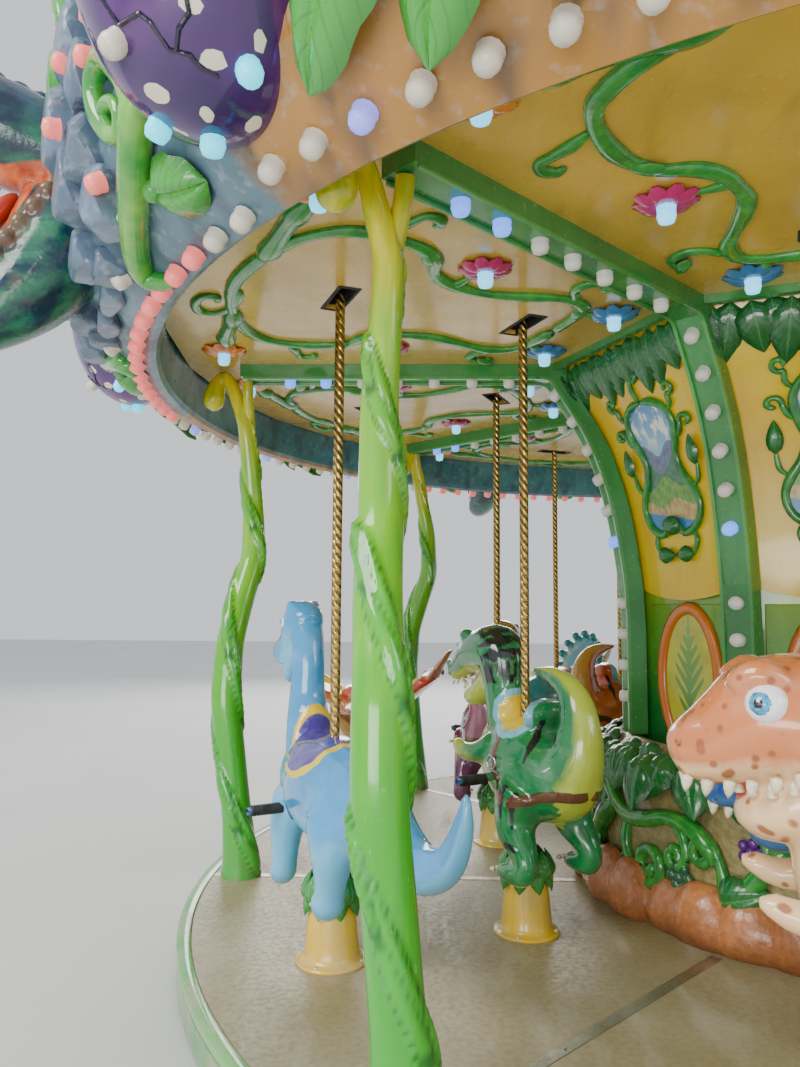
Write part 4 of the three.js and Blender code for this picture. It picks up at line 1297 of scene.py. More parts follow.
def tyrannosaur(sizes, parts):
    bodies = [
        limb([(225, 770, 60), (185, 750, 100), (120, 705, 150), (0, 665, 190), (-130, 650, 196),
              (-240, 665, 176),
              (-310, 730, 120), (-330, 830, 92), (-318, 925, 72), (-270, 992, 54), (-185, 1028, 38),
              (-95, 1042, 20),
              (-50, 1048, 7)], 18, 46, 0.9),
        limb([(95, 770, 105), (125, 860, 92), (140, 950, 92), (146, 1030, 104), (168, 1100, 116),
              (240, 1112, 112),
              (320, 1100, 100), (385, 1078, 84), (440, 1042, 68), (500, 1014, 54), (546, 1002, 38),
              (564, 998, 12)],
             16, 36, 0.95),
        limb([(190, 1010, 56), (262, 955, 56), (330, 912, 52), (392, 900, 38), (422, 894, 12)], 12, 16,
             1.25),
        *limbs([(70, 95, 735, 62), (140, 130, 700, 46), (215, 150, 692, 38), (270, 150, 712, 30),
                (310, 150, 722, 12)]),
        *limbs(BIPED_LEGS, 14, 26),
        *lumps(360, 52, 1176, (44, 28, 28)),
        *lumps(532, 32, 1040, (24, 18, 18)),
        cantle(0.872),
    ]
    skin_obj = moulded(bodies, "tyrannosaur_skin", sizes)
    axis = [(565, 1000), (440, 1050), (300, 1115), (190, 1100), (140, 980), (105, 850), (40, 760),
            (-50, 690),
            (-150, 668), (-250, 690), (-310, 750), (-328, 840), (-314, 925), (-265, 985), (-180, 1022),
            (-60, 1046)]
    strokes = [
        [(60, 20, 1005, 21), (110, 70, 1000, 17), (160, 90, 985, 5)],
        [(60, 20, 1055, 22), (120, 80, 1045, 17), (180, 105, 1035, 5)],
        [(55, 20, 1110, 22), (120, 90, 1095, 18), (185, 112, 1080, 5)],
        [(75, 20, 1170, 22), (130, 90, 1150, 18), (190, 112, 1130, 5)],
        [(120, 20, 1215, 21), (165, 90, 1195, 17), (215, 110, 1170, 5)],
        [(190, 20, 1225, 20), (225, 80, 1190, 15), (255, 105, 1145, 4)],
        [(45, 190, 655, 17), (-10, 215, 650, 18), (-70, 220, 650, 5)],
        [(30, 195, 530, 17), (-30, 220, 530, 18), (-90, 225, 530, 5)],
        [(-10, 200, 470, 15), (-60, 215, 470, 15), (-110, 215, 470, 5)],
        [(-150, 215, 400, 13), (-190, 220, 395, 13), (-225, 215, 390, 5)],
        [(-215, 60, 840, 16), (-205, 140, 780, 14), (-195, 180, 700, 4)],
        [(-262, 30, 860, 15), (-285, 90, 810, 14), (-300, 112, 740, 4)],
        [(-262, 20, 925, 13), (-300, 66, 880, 12), (-330, 88, 830, 4)],
        [(-150, 225, 640, 15), (-120, 225, 560, 15), (-125, 215, 480, 4)],
        [(-215, 210, 620, 14), (-190, 225, 540, 14), (-190, 215, 460, 4)],
        [(-70, 215, 620, 14), (-60, 215, 560, 13), (-70, 200, 500, 4)],
        [(-215, 12, 960, 11), (-255, 45, 960, 10), (-300, 66, 930, 4)],
        [(-140, 8, 1010, 9), (-165, 30, 1010, 8), (-200, 38, 1000, 3)],
        [(540, 30, 1048, 7)],
    ]
    mouth = [[(255, 0, 1005, 30), (330, 0, 975, 28), (400, 0, 950, 24), (450, 0, 940, 18)]]
    belt = [(5, 150, 830, 22), (-5, 185, 740, 22), (-18, 195, 650, 22), (-60, 205, 590, 22),
            (-150, 215, 560, 22),
            (-240, 200, 570, 22), (-330, 120, 600, 22), (-370, 20, 610, 22)]
    skin_marks(skin_obj, axis, strokes, (-30, 880, 138, 105), mouth, belt, BIPED_SPAN)
    hold = draped(skin_obj, [(-12, 200, 690, 0)])[0]
    eye_set = eyes(372, 62, 1128, 26, (0.5, 1.0, 0.15))
    teeth = fangs([(350, 44, 1000), (400, 42, 985), (448, 38, 972), (494, 32, 964)], (4, -26), 8)
    teeth += fangs([(335, 40, 962), (375, 36, 944), (408, 28, 930)], (2, 24), 7)
    toes = claws(-42, 166, 282, 22, 17) + claws(305, 150, 722, 14, 12)
    x, y, z = (value / 1000 for value in hold[:3])
    turns = [i * math.pi / 5 for i in range(11)]
    loop = [(x + 0.028 * math.cos(a), y + 0.009, z + 0.026 * math.sin(a), 0.0045) for a in turns]
    buckle = tube("buckle", loop, 6, 30)
    buckles = joined([buckle, copied(buckle, Matrix.Scale(-1, 4, (0, 1, 0)))], "buckles")
    return assembled("tyrannosaur", skin_obj, parts, eye_set, teeth + toes, foot_bar(80, 600),
                     [(buckles, "buckle")])


def bighead(sizes, parts, lift, name):
    """The wide-mouthed figure, with its head raised or lowered by lift."""

    def up(stations):
        return [(*s[:-2], s[-2] + lift, s[-1]) for s in stations]

    bodies = [
        limb([(215, 690, 50), (165, 690, 100), (60, 640, 178), (-100, 610, 200), (-260, 595, 168),
              (-420, 565, 112),
              (-570, 575, 70), (-680, 645, 42), (-720, 735, 14), (-726, 750, 5)], 18, 40, 0.9),
        limb([(90, 720, 130), (105, 790 + lift * 0.4, 122), (110, 880 + lift * 0.8, 116),
              (125, 985 + lift, 104)],
             16, 18),
        limb(up([(85, 1005, 70), (120, 1035, 118), (185, 1052, 148), (262, 1052, 142), (330, 1020, 116),
                 (385, 996, 94), (430, 984, 74), (462, 978, 50), (476, 974, 16)]), 20, 36, 0.98),
        limb(up([(110, 930, 84), (185, 890, 88), (255, 862, 74), (310, 862, 52), (338, 868, 16)]), 16, 22,
             1.25),
        *limbs(up([(245, 92, 1140, 34), (292, 96, 1158, 38), (348, 84, 1128, 26)])),
        *limbs(up([(392, 50, 1044, 24), (428, 46, 1032, 22), (458, 34, 1008, 14)])),
        *limbs([(70, 105, 735, 60), (150, 140, 690, 44), (225, 155, 680, 36), (280, 155, 700, 28),
                (315, 155, 708, 10)]),
        *limbs(BIPED_LEGS, 14, 26),
        cantle(0.822),
    ]
    skin_obj = moulded(bodies, f"{name}_skin", sizes)
    axis = [(476, 976 + lift), (400, 1000 + lift), (300, 1035 + lift), (190, 1030 + lift), (125, 960 + lift),
            (105, 850 + lift * 0.7), (90, 760), (30, 690), (-100, 640), (-260, 610), (-420, 570),
            (-570, 578),
            (-680, 645), (-724, 745)]
    nostril = [[(440, 42, 1006 + lift, 14)]]
    mouth = [up([(160, 0, 968, 42), (230, 0, 940, 48), (300, 0, 925, 48), (360, 0, 915, 44),
                 (400, 0, 912, 34)])]
    skin_marks(skin_obj, axis, nostril, (-12, 880, 175, 145), mouth, legs=BIPED_SPAN)
    eye_set = eyes(276, 108, 1100 + lift, 46, (0.55, 1.0, 0.1))
    upper = [(215, 124, 962), (262, 118, 950), (308, 106, 940), (352, 92, 934), (396, 74, 930),
             (436, 40, 932)]
    lower = [(180, 100, 930), (225, 94, 908), (268, 80, 896), (304, 56, 892), (326, 24, 894)]
    teeth = fangs([(x, y, z + lift) for x, y, z in upper], (6, -40), 14)
    teeth += fangs([(x, y, z + lift) for x, y, z in lower], (4, 36), 12)
    tongue = ball("tongue", (0.24, 0, (918 + lift) / 1000), (0.1, 0.058, 0.022), 14, 8, 0.3)
    painted(tongue, gloss(f"{name}_tongue", (0.55, 0.06, 0.07), 0.3, 0.7))
    toes = claws(-42, 166, 282, 22, 17)
    made = assembled(name, skin_obj, parts, eye_set, teeth + toes, foot_bar(80, 600))
    return joined([made, tongue], name)


def pterosaur(sizes, parts):
    bodies = [
        limb([(285, 705, 30), (255, 700, 70), (180, 690, 122), (20, 655, 150), (-150, 640, 140),
              (-320, 645, 85),
              (-450, 680, 42), (-530, 720, 12), (-540, 724, 4)], 18, 34, 0.92),
        limb([(180, 740, 90), (240, 810, 72), (285, 870, 60), (318, 930, 58), (345, 985, 66),
              (390, 1025, 74),
              (450, 1015, 62), (530, 985, 44), (610, 960, 26), (655, 948, 10)], 16, 34, 0.92),
        limb([(360, 985, 40), (430, 955, 34), (520, 935, 24), (600, 930, 12), (620, 930, 5)], 12, 14, 1.0),
        limb([(370, 1045, 44), (320, 1090, 36), (260, 1130, 26), (185, 1178, 8)], 12, 14, 0.7),
        *limbs([(20, 70, 690, 42), (0, 180, 740, 36), (-4, 280, 795, 30), (-40, 420, 900, 24),
                (-82, 522, 1034, 12),
                (-86, 530, 1046, 5)], 18, 26, 5.2, (1, 0, 0)),
        *limbs([(60, 90, 720, 34), (70, 230, 800, 26), (60, 380, 900, 22), (0, 500, 1030, 14),
                (-10, 512, 1044, 6)]),
        *limbs([(-170, 65, 605, 72), (-165, 100, 450, 50), (-180, 112, 340, 38), (-180, 112, 290, 36),
                (-140, 112, 272, 32), (-105, 112, 268, 10)]),
        ball("seat", (-0.01, 0, 0.79), (0.175, 0.15, 0.05), 16, 8),
    ]
    skin_obj = moulded(bodies, "pterosaur_skin", sizes)
    axis = [(655, 950), (530, 985), (400, 1030), (330, 960), (270, 850), (180, 740), (20, 680), (-150, 655),
            (-320, 650), (-450, 682), (-540, 724)]
    strokes = [[(-40, 150, 745, 8), (-90, 300, 820, 7), (-130, 480, 960, 3)],
               [(60, 150, 745, 8), (20, 300, 830, 7), (-40, 490, 1000, 3)],
               [(150, 150, 735, 8), (120, 300, 830, 7), (30, 490, 1010, 3)]]
    mouth = [[(440, 0, 978, 18), (520, 0, 958, 16), (590, 0, 944, 12)]]
    skin_marks(skin_obj, axis, strokes, (-10, 830, 170, 100), mouth)
    eye_set = eyes(392, 62, 1045, 22, (0.3, 1.0, 0.1))
    toes = claws(-108, 112, 274, 18, 14)
    return assembled("pterosaur", skin_obj, parts, eye_set, toes, foot_bar(80, 600))


def horned(sizes, parts):
    bodies = [
        limb([(300, 655, 40), (250, 650, 90), (160, 640, 172), (0, 620, 196), (-200, 600, 182),
              (-350, 555, 122),
              (-490, 480, 72), (-600, 440, 38), (-665, 448, 12), (-676, 452, 4)], 18, 40, 0.92),
        limb([(215, 720, 112), (270, 760, 126), (330, 785, 132), (400, 770, 116), (460, 745, 96),
              (520, 715, 74),
              (575, 688, 50), (608, 674, 20)], 18, 28, 0.95),
        limb([(330, 700, 70), (430, 665, 62), (520, 632, 44), (565, 622, 18)], 14, 14, 1.1),
        ball("frill", (0.255, 0, 0.885), (0.046, 0.225, 0.218), 22, 14, 0.35),
        *[ball("frill_knob", (0.222 + 0.06 * math.cos(a), 0.222 * math.sin(a), 0.895 + 0.205 * math.cos(a)),
               (0.03, 0.034, 0.034), 10, 6) for a in [math.radians(i * 26 - 104) for i in range(9)]],
        *limbs([(190, 92, 580, 98), (196, 116, 450, 72), (194, 124, 360, 58), (196, 126, 300, 56),
                (226, 126, 268, 52),
                (256, 126, 258, 22)]),
        *limbs([(-205, 90, 580, 118), (-215, 118, 450, 84), (-212, 124, 360, 66), (-200, 126, 300, 60),
                (-180, 126, 268, 60), (-145, 126, 256, 30)]),
        ball("seat", (-0.01, 0, 0.8), (0.185, 0.17, 0.05), 16, 8),
    ]
    skin_obj = moulded(bodies, "horned_skin", sizes)
    axis = [(608, 680), (500, 735), (380, 800), (250, 760), (120, 680), (0, 640), (-200, 610), (-350, 560),
            (-490, 485), (-600, 442), (-676, 452)]
    strokes = [[(230, 60, 1010, 22), (232, 70, 985, 18)], [(225, 130, 950, 24), (230, 135, 925, 20)],
               [(235, 150, 850, 22), (240, 145, 830, 18)], [(560, 28, 712, 8)]]
    mouth = [[(440, 0, 690, 24), (500, 0, 668, 22), (550, 0, 650, 18)]]
    skin_marks(skin_obj, axis, strokes, (-10, 845, 185, 130), mouth)
    eye_set = eyes(405, 92, 812, 25)
    horns = [fang((385, way * 58, 845), (492, way * 82, 1000), 30) for way in (1, -1)]
    horns.append(fang((545, 0, 735), (585, 0, 850), 24))
    toes = claws(258, 126, 268, 28, 16) + claws(-148, 126, 268, 28, 16)
    return assembled("horned", skin_obj, parts, eye_set, horns + toes, foot_bar(120, 530))


class CAROUSEL_OT_figures(bpy.types.Operator):
    """Moulds the dinosaur figures and sets them on their poles"""
    bl_idname = "carousel.figures"
    bl_label = "Dinosaur figures"

    def execute(self, context):
        sizes = context.scene.carousel_sizes
        parts = figure_parts()
        indigo, yellow, sky = (0.055, 0.035, 0.26), (0.8, 0.56, 0.02), (0.18, 0.5, 0.6)
        ink = (0.012, 0.014, 0.016)
        lime = (0.42, 0.52, 0.05)
        skins = {
            "blue": skin("blue_skin", (0.045, 0.33, 0.68), (0.13, 0.47, 0.74), (0.01, 0.05, 0.15), indigo,
                         yellow),
            "green": skin("green_skin", (0.01, 0.21, 0.055), lime, ink, yellow, sky, belly_edge=0.62),
            "orange": skin("orange_skin", (0.68, 0.13, 0.02), (0.75, 0.38, 0.08), ink, yellow, sky),
            "plum": skin("plum_skin", (0.15, 0.035, 0.11), (0.3, 0.1, 0.17), (0.6, 0.36, 0.05), yellow, sky),
            "tan": skin("tan_skin", (0.66, 0.205, 0.065), (0.8, 0.52, 0.28), ink, yellow, (0.5, 0.08, 0.04),
                        spotted=(0.3, 0.075, 0.02)),
            "navy": skin("navy_skin", (0.012, 0.075, 0.3), (0.04, 0.17, 0.42), ink, (0.6, 0.1, 0.05), yellow,
                         spotted=(0.005, 0.02, 0.1)),
            "teal": skin("teal_skin", (0.02, 0.33, 0.4), (0.4, 0.55, 0.35), (0.7, 0.35, 0.06),
                         (0.5, 0.06, 0.05), yellow),
            "brown": skin("brown_skin", (0.46, 0.17, 0.045), (0.68, 0.42, 0.18), (0.22, 0.06, 0.015), yellow,
                          (0.6, 0.06, 0.03)),
        }
        moulds = {
            "longneck": longneck(sizes, parts),
            "tyrannosaur": tyrannosaur(sizes, parts),
            "bighead": bighead(sizes, parts, 0, "bighead"),
            "lowhead": bighead(sizes, parts, -230, "lowhead"),
            "horned": horned(sizes, parts),
            "pterosaur": pterosaur(sizes, parts),
        }
        line = [
            (("longneck", "blue"), ("tyrannosaur", "green")), (("bighead", "tan"), ("lowhead", "navy")),
            (("horned", "teal"), ("tyrannosaur", "orange")),
            (("pterosaur", "brown"), ("tyrannosaur", "plum")),
        ]
        for i, angle in enumerate(MIDDLES):
            for (mould, colour), row, radius in zip(line[i % 4], ("outer", "inner"), (OUTER_ROW, INNER_ROW)):
                place = turn(angle - math.pi / 2 + FIGURE_TURN, *polar(radius, angle, DECK_TOP))
                one = copied(moulds[mould], place, f"moulded_{mould}_{row}_{i + 1}")
                one.data.materials[0] = skins[colour]
                placed(one, f"rider_{row}_{i + 1}", f"{colour}_skin", f"{mould}_{row}_{i + 1}")
        cleared(*moulds.values())
        return {"FINISHED"}


# Ceiling, roof frame and their vines

def beam_paint(name, colour):
    paint = Paint(name, coat=0.4)
    return gloss_layers(paint, colour, 0.8, 0.14, 0.3).material


def ceiling_paint(colour):
    """Amber moulded sheet: cloudy depth, long soft ripples and a few pale scratches under thick varnish."""
    paint = Paint("amber_ceiling", coat=0.3)
    cloud = paint.mottle(1.7, 5.0, 0.3, 0.72)
    paint.colour(paint.blend(cloud, shade(colour, 0.72), tint(colour, (0.95, 0.62, 0.1), 0.5)))
    paint.over(paint.mottle(11.0, 4.0, 0.55, 0.75, 0.0, 0.5, stretch=(1.0, 0.25, 1.0)), shade(colour, 0.55))
    paint.over(paint.mottle(40.0, 6.0, 0.68, 0.76, 0.0, 0.4), (0.95, 0.85, 0.55))
    paint.rough(paint.mottle(6.0, 4.0, 0.3, 0.75, 0.16, 0.36))
    ripples = paint.sum("ADD", paint.grain(3.2, 3.0), paint.times(paint.grain(24.0), 0.12))
    return paint.relief(ripples, 0.35, 0.012).material


def vine_paint(name, colour):
    paint = Paint(name, coat=0.6)
    streak = paint.mottle(26.0, 4.0, 0.36, 0.66)
    paint.colour(paint.blend(paint.times(streak, 0.6), colour, tint(colour, (0.1, 0.55, 0.05), 0.6)))
    paint.over(paint.mottle(6.0, 4.0, 0.45, 0.75, 0.0, 0.7), shade(colour, 0.35))
    paint.rough(paint.span(streak, 0.0, 1.0, 0.09, 0.28))
    return paint.relief(streak, 0.15, 0.002).material


# The half of a sector's ceiling vine at one side of its middle: (radius, degrees)
CEILING_LOOP = [
    (2.92, 0), (2.895, 5), (2.838, 9.4), (2.765, 12.0), (2.7, 13.0), (2.614, 13.5), (2.518, 13.6),
    (2.433, 13.2), (2.352, 12), (2.305, 10), (2.229, 8.6), (2.135, 8), (2.044, 7.8), (1.944, 8.6),
    (1.842, 10),
    (1.77, 11.1),
    (1.7, 11.6), (1.613, 11), (1.56, 8), (1.54, 4), (1.532, 0),
]
CEILING_TWIGS = [
    [(2.25, 8.8), (2.18, 8.6), (2.165, 9.6), (2.17, 11.4)],
    [(1.8, 10.4), (1.7, 11.6), (1.7, 12.6), (1.753, 14.1), (1.771, 16), (1.741, 17.6), (1.69, 17.9),
     (1.674, 17.0), (1.69, 16.3)],
    [(2.64, 13.8), (2.61, 15.2), (2.595, 16.7), (2.585, 17.7), (2.547, 18.0), (2.515, 17.4), (2.524, 16.7)],
    [(1.56, 8.0), (1.5, 9.0), (1.455, 10.4)],
]
CEILING_BRANCH = [(2.917, 15.0), (2.914, 13.2), (2.906, 11.6), (2.892, 9.4), (2.88, 7.0), (2.89, 5.2)]
CEILING_CURL = [(2.884, -1.0), (2.883, -2.9), (2.911, -5.5), (2.969, -6.6), (3.024, -6.2), (3.039, -4.6),
                (3.015, -3.1), (2.97, -2.8), (2.953, -4.0)]
# Ceiling flowers: radius, degrees from the sector's middle, name, reach and colour
FLOWERS = [(2.94, 16.5, "orange_flower", 0.105, (0.8, 0.22, 0.02)),
           (2.17, 13.2, "magenta_flower", 0.098, (0.55, 0.025, 0.16)),
           (1.44, 11.0, "blue_flower", 0.104, (0.05, 0.22, 0.5))]
PETALS = 9


def flower(name, reach, petal_paint, heart_paint):
    """A moulded flower that faces down: cupped petals round a heart."""

    def petal(u, v):
        across = (u - 0.5) * 2
        width = 0.3 * math.sin(math.pi * (0.1 + 0.84 * v)) ** 0.8
        length = reach * (0.18 + 0.82 * v)
        cup = 0.1 * reach * (1 - across * across) * math.sin(math.pi * v) - 0.16 * reach * v * v
        notch = 0.05 * reach * (1 - abs(across)) * ease(v, 0.8, 1.0)
        return Vector((length - notch, across * width * reach, -0.02 - cup))

    one = thick(sheet("petal", 4, 5, petal), 0.008)
    copies = spread(one, [rotation(360 * i / PETALS) for i in range(PETALS)])
    ring = painted(smooth(joined(copies, "petals"), 60), petal_paint)
    heart = painted(smooth(ball("heart", (0, 0, -0.018), (0.3 * reach, 0.3 * reach, 0.02), 12, 6)),
                    heart_paint)
    return joined([ring, heart], name)


def lamp_cap(sizes, height=None):
    """A lamp cap that points along +X from the origin, with its collar."""
    reach = height or sizes.lamp_height
    r = sizes.lamp_radius
    line = [(0.0, -0.004), (r * 1.02, -0.004), (r * 0.95, reach * 0.2), (r, reach * 0.5),
            (r * 0.8, reach * 0.86),
            (0.0, reach)]
    rows = len(line) - 1

    def place(u, v):
        radius, x = line[round(v * rows)]
        return Vector((x, radius * math.cos(u * 2 * math.pi), radius * math.sin(u * 2 * math.pi)))

    return smooth(closed(sheet("lamp", 12, rows, place)), 70)


def lamps(cap, spots, name, colour, strength):
    """Lamp caps at (place, direction) spots, joined into one piece of one colour."""
    made = []
    for where, out in spots:
        facing = Vector(out).normalized().to_track_quat("X", "Z").to_matrix().to_4x4()
        made.append(copied(cap, Matrix.Translation(where) @ facing))
    placed(painted(joined(made, name), lamp(f"{name}_glow", colour, strength)), "turntable", "yellow_gloss")


def make_pole_slots():
    """The framed slots that the poles pass through, each a near-black box closed above, as painted shade in the slot's
    opening.
    """
    def frame_of_slot(grow, low, high):
        return block("slot", (-0.035 - grow, -0.1225 - grow, low), (0.035 + grow, 0.1225 + grow, high),
                     0.004, 1)

    outer = frame_of_slot(0.012, -0.004, 0.1)
    inner = frame_of_slot(-0.002, -0.02, 0.094)
    applied(outer, "BOOLEAN", operation="DIFFERENCE", solver="EXACT", object=inner)
    cleared(inner)
    trays = spread(outer, [turn(angle, *polar(radius, angle, CEILING_UNDER))
                           for angle in MIDDLES for radius in (OUTER_ROW, INNER_ROW)])
    slots = smooth(joined(trays, "pole_slots"))
    # painted shade: the slot boxes are near black, standing in for the shade inside the slots
    black = Paint("slot_black", roughness=0.7)
    soot = black.mottle(20.0, 4.0, 0.4, 0.7)
    black.colour(black.blend(soot, (0.006, 0.006, 0.006), (0.035, 0.032, 0.03)))
    black.relief(black.grain(120.0), 0.2, 0.001)
    placed(painted(slots, black.material), "turntable", "ground_steel")


def make_ceiling_vines(sizes, colours):
    """The vines under the ceiling, with their buds."""
    low = CEILING_UNDER - 0.006
    thickness = sizes.vine_radius
    whole = [(r, -d) for r, d in reversed(CEILING_LOOP[1:])] + CEILING_LOOP
    runs = [(whole, thickness, 110)]
    for line in (CEILING_BRANCH, *CEILING_TWIGS):
        fat = thickness * (1.4 if line is CEILING_BRANCH else 0.72)
        for way in (1, -1):
            runs.append(([(r, way * d) for r, d in line], fat, 26))
    runs.append((CEILING_CURL, thickness * 0.72, 30))
    vines = []
    for line, fat, rings in runs:
        last = len(line) - 1
        stations = []
        for i, (r, d) in enumerate(line):
            taper = 0.45 if i in (0, last) and line is not whole else 1.0
            wave = 1.0 + 0.16 * math.sin(i * 1.9)
            stations.append((*polar(r, math.radians(d), low), fat * taper * wave))
        vines.append(tube("vine", stations, 8, rings, 0.62, (0, 0, 1)))
    bud = leaf("bud", 0.12, 0.052, 0.008, 0.35, 0.0, 6, 4)
    vines += spread(bud, [
        turn(math.radians(heading), *polar(r, math.radians(d), low - 0.008)) @ rotation(180, "X")
        for r, d, heading in ((1.73, -16, 200), (2.36, 11.5, 60), (2.36, -11.5, -60), (2.7, 14.2, 130),
                              (1.61, 10.5, 250))
    ])
    ringed(vines, "ceiling_vines", 70, vine_paint("ceiling_vine_green", colours.leaf), "green_gloss",
           turns=MIDDLES)


def make_ceiling_flowers(sizes):
    """The ceiling's flowers and their lamps."""
    cap = lamp_cap(sizes, 0.05)
    spots = []
    for r, d, kind, reach, tone in FLOWERS:
        heart_paint = gloss(f"{kind}_heart", tint(tone, (0.9, 0.7, 0.3), 0.4), 0.4, 0.6)
        one = flower(kind, reach, gloss(kind, tone, 0.4, 0.6), heart_paint)
        angles = [middle + way * math.radians(d) for middle in MIDDLES for way in (1, -1)]
        copies = spread(one, [turn(angle, *polar(r, angle, CEILING_UNDER)) for angle in angles])
        spots += [(polar(r, angle, CEILING_UNDER - 0.03), (0, 0, -1)) for angle in angles]
        placed(joined(copies, f"{kind}s"), "turntable", "yellow_gloss")
    lamps(cap, spots, "flower_lamps", (0.16, 0.62, 0.95), 1.8)
    cleared(cap)


class CAROUSEL_OT_ceiling(bpy.types.Operator):
    """Finishes the ceiling, adds its pole slots, vines, flowers and their lamps"""
    bl_idname = "carousel.ceiling"
    bl_label = "Ceiling"

    def execute(self, context):
        sizes, colours = context.scene.carousel_sizes, context.scene.carousel_colours
        painted(frame["nodes"]["ceiling"], ceiling_paint(colours.ochre))
        make_pole_slots()
        make_ceiling_vines(sizes, colours)
        make_ceiling_flowers(sizes)
        return {"FINISHED"}


RIB_FRONT = [(1.42, 2.445), (1.345, 2.43), (1.29, 2.35), (1.205, 2.215), (1.134, 2.075), (1.08, 1.925),
             (1.042, 1.775), (1.01, 1.6), (0.985, 1.4), (0.975, 1.18), (0.975, 0.7)]
BEAM_LAMPS = (2.656, 2.474, 2.288, 2.112, 1.924, 1.734, 1.548)
RIB_LAMPS = ((1.305, 2.374), (1.218, 2.24), (1.144, 2.094), (1.09, 1.943), (1.05, 1.786), (1.021, 1.628),
             (0.977, 1.323), (0.976, 1.173), (0.975, 1.023), (0.975, 0.873))


def make_beam_edges():
    """The raised edges of the beams and ribs."""
    edges = []
    for way in (1, -1):
        y = way * 0.0605
        low, high = (1.4, y - 0.0065, BEAM_UNDER - 0.014), (2.885, y + 0.0065, BEAM_UNDER + 0.001)
        edges.append(block("lip", low, high, 0.003, 1))

        def lip(u, v, y=y):
            r, z = spline(RIB_FRONT, v)
            corner = round(u * 4) % 4
            side = (0.0065, 0.0065, -0.0065, -0.0065)[corner]
            lift = (-0.001, 0.014, 0.014, -0.001)[corner]
            return Vector((r, y + side, z + DECK_TOP)) + line_out(RIB_FRONT, v) * lift

        edges.append(mended(closed(sheet("rib_lip", 4, 40, lip)), bpy.ops.mesh.edge_face_add))
    ringed(edges, "beam_edges", 40, beam_paint("edge_strip_green", (0.075, 0.36, 0.075)), "green_gloss")


def make_beam_lamps(sizes):
    """The rows of lamps on the beams and ribs."""
    cap = lamp_cap(sizes)
    cream, blue = [], []
    for angle in [i * SECTOR for i in range(SECTORS)]:
        for k, r in enumerate(BEAM_LAMPS):
            (blue if k < 2 else cream).append((polar(r, angle, BEAM_UNDER), (0, 0, -1)))
        for k, (r, z) in enumerate(RIB_LAMPS):
            t = (2.445 - z) / 1.745
            slope = Vector((1.0, 0, -1.15 * max(0.0, 1 - 1.55 * t)))
            out = Matrix.Rotation(angle, 3, "Z") @ slope
            (blue if k == 5 else cream).append((polar(r, angle, z + DECK_TOP), out))
    lamps(cap, cream, "beam_lamps", (0.72, 0.7, 0.62), 0.12)
    lamps(cap, blue, "beam_lamps_blue", (0.13, 0.28, 0.98), 1.6)
    cleared(cap)


class CAROUSEL_OT_roof_frame(bpy.types.Operator):
    """Finishes the beams and ribs, with their raised edges and rows of lamps"""
    bl_idname = "carousel.roof_frame"
    bl_label = "Beams and ribs"

    def execute(self, context):
        painted(frame["nodes"]["roof_frame"], beam_paint("beam_green", (0.045, 0.27, 0.06)))
        make_beam_edges()
        make_beam_lamps(context.scene.carousel_sizes)
        return {"FINISHED"}


# Centre: flared panels, drum and rockwork

FLARE_LINE = [(r - 0.076, z) for r, z in [(1.345, 2.505), *RIB_FRONT[2:9]]]
HALF_PANEL = math.pi / SECTORS


def flare_point(u, v, lift=0.0):
    """A point of a flared panel round +X: u is -1 to 1 across, v is 0 at the top and 1 at the foot."""
    radius, height = spline(FLARE_LINE, v)
    foot = 0.06 * (1 - u * u) * ease(v, 0.86, 1.0)
    flat = radius * math.cos(HALF_PANEL)
    width = radius * math.sin(HALF_PANEL) * 0.985
    bow = 0.022 * (1 - u * u)
    return Vector((flat + 0.002, u * width, height + DECK_TOP - foot)) + line_out(FLARE_LINE,
                                                                                  v) * (bow + lift)


def panel_place(across, down):
    """Metres from the panel's middle line and from its top, as u and v."""
    v = min(max(down / 1.16, 0.0), 1.0)
    radius = spline(FLARE_LINE, v)[0] * math.sin(HALF_PANEL) * 0.985
    return across / radius, v


def panel_vine(line, fat, rings, lift=0.012):
    """A vine on a flared panel, from (across, down) points in metres."""
    stations = []
    last = len(line) - 1
    for i, (across, down) in enumerate(line):
        spot = flare_point(*panel_place(across, down), lift)
        taper = 0.5 if i in (0, last) else 1.0
        stations.append((*spot, fat * taper * (1 + 0.12 * math.sin(i * 2.1))))
    return tube("panel_vine", stations, 8, rings, 0.8, (1, 0, 0.3))


def curl(x, y, radius, start, turns, way, count=8, shrink=0.72, stretch=1.0):
    """Points of a spiral that winds in from a start angle in degrees."""
    points = []
    for i in range(count):
        t = i / (count - 1)
        a = math.radians(start) + way * t * turns * 2 * math.pi
        r = radius * (1 - shrink * t)
        points.append((x + stretch * r * math.cos(a), y + r * math.sin(a)))
    return points


# Leaves of the fringe over a panel: length and lean in degrees
FRINGE = [(0.26, -9), (0.2, 12), (0.25, -6), (0.19, 8), (0.26, -10), (0.2, 7), (0.24, -4)]
# The frame round a panel's picture, one side, as (across, down) in metres
PICTURE_SIDE = [(0.0, 0.3), (0.06, 0.305), (0.125, 0.35), (0.15, 0.43), (0.128, 0.52), (0.105, 0.6),
                (0.122, 0.69), (0.165, 0.77), (0.185, 0.85), (0.15, 0.925), (0.07, 0.955), (0.02, 0.9)]


def picture_edge(down):
    """Half width of the picture at this distance down the panel."""
    for (a0, d0), (a1, d1) in zip(PICTURE_SIDE, PICTURE_SIDE[1:]):
        if d0 <= down <= d1:
            return a0 + (a1 - a0) * (down - d0) / max(d1 - d0, 1e-6)
    return 0.0


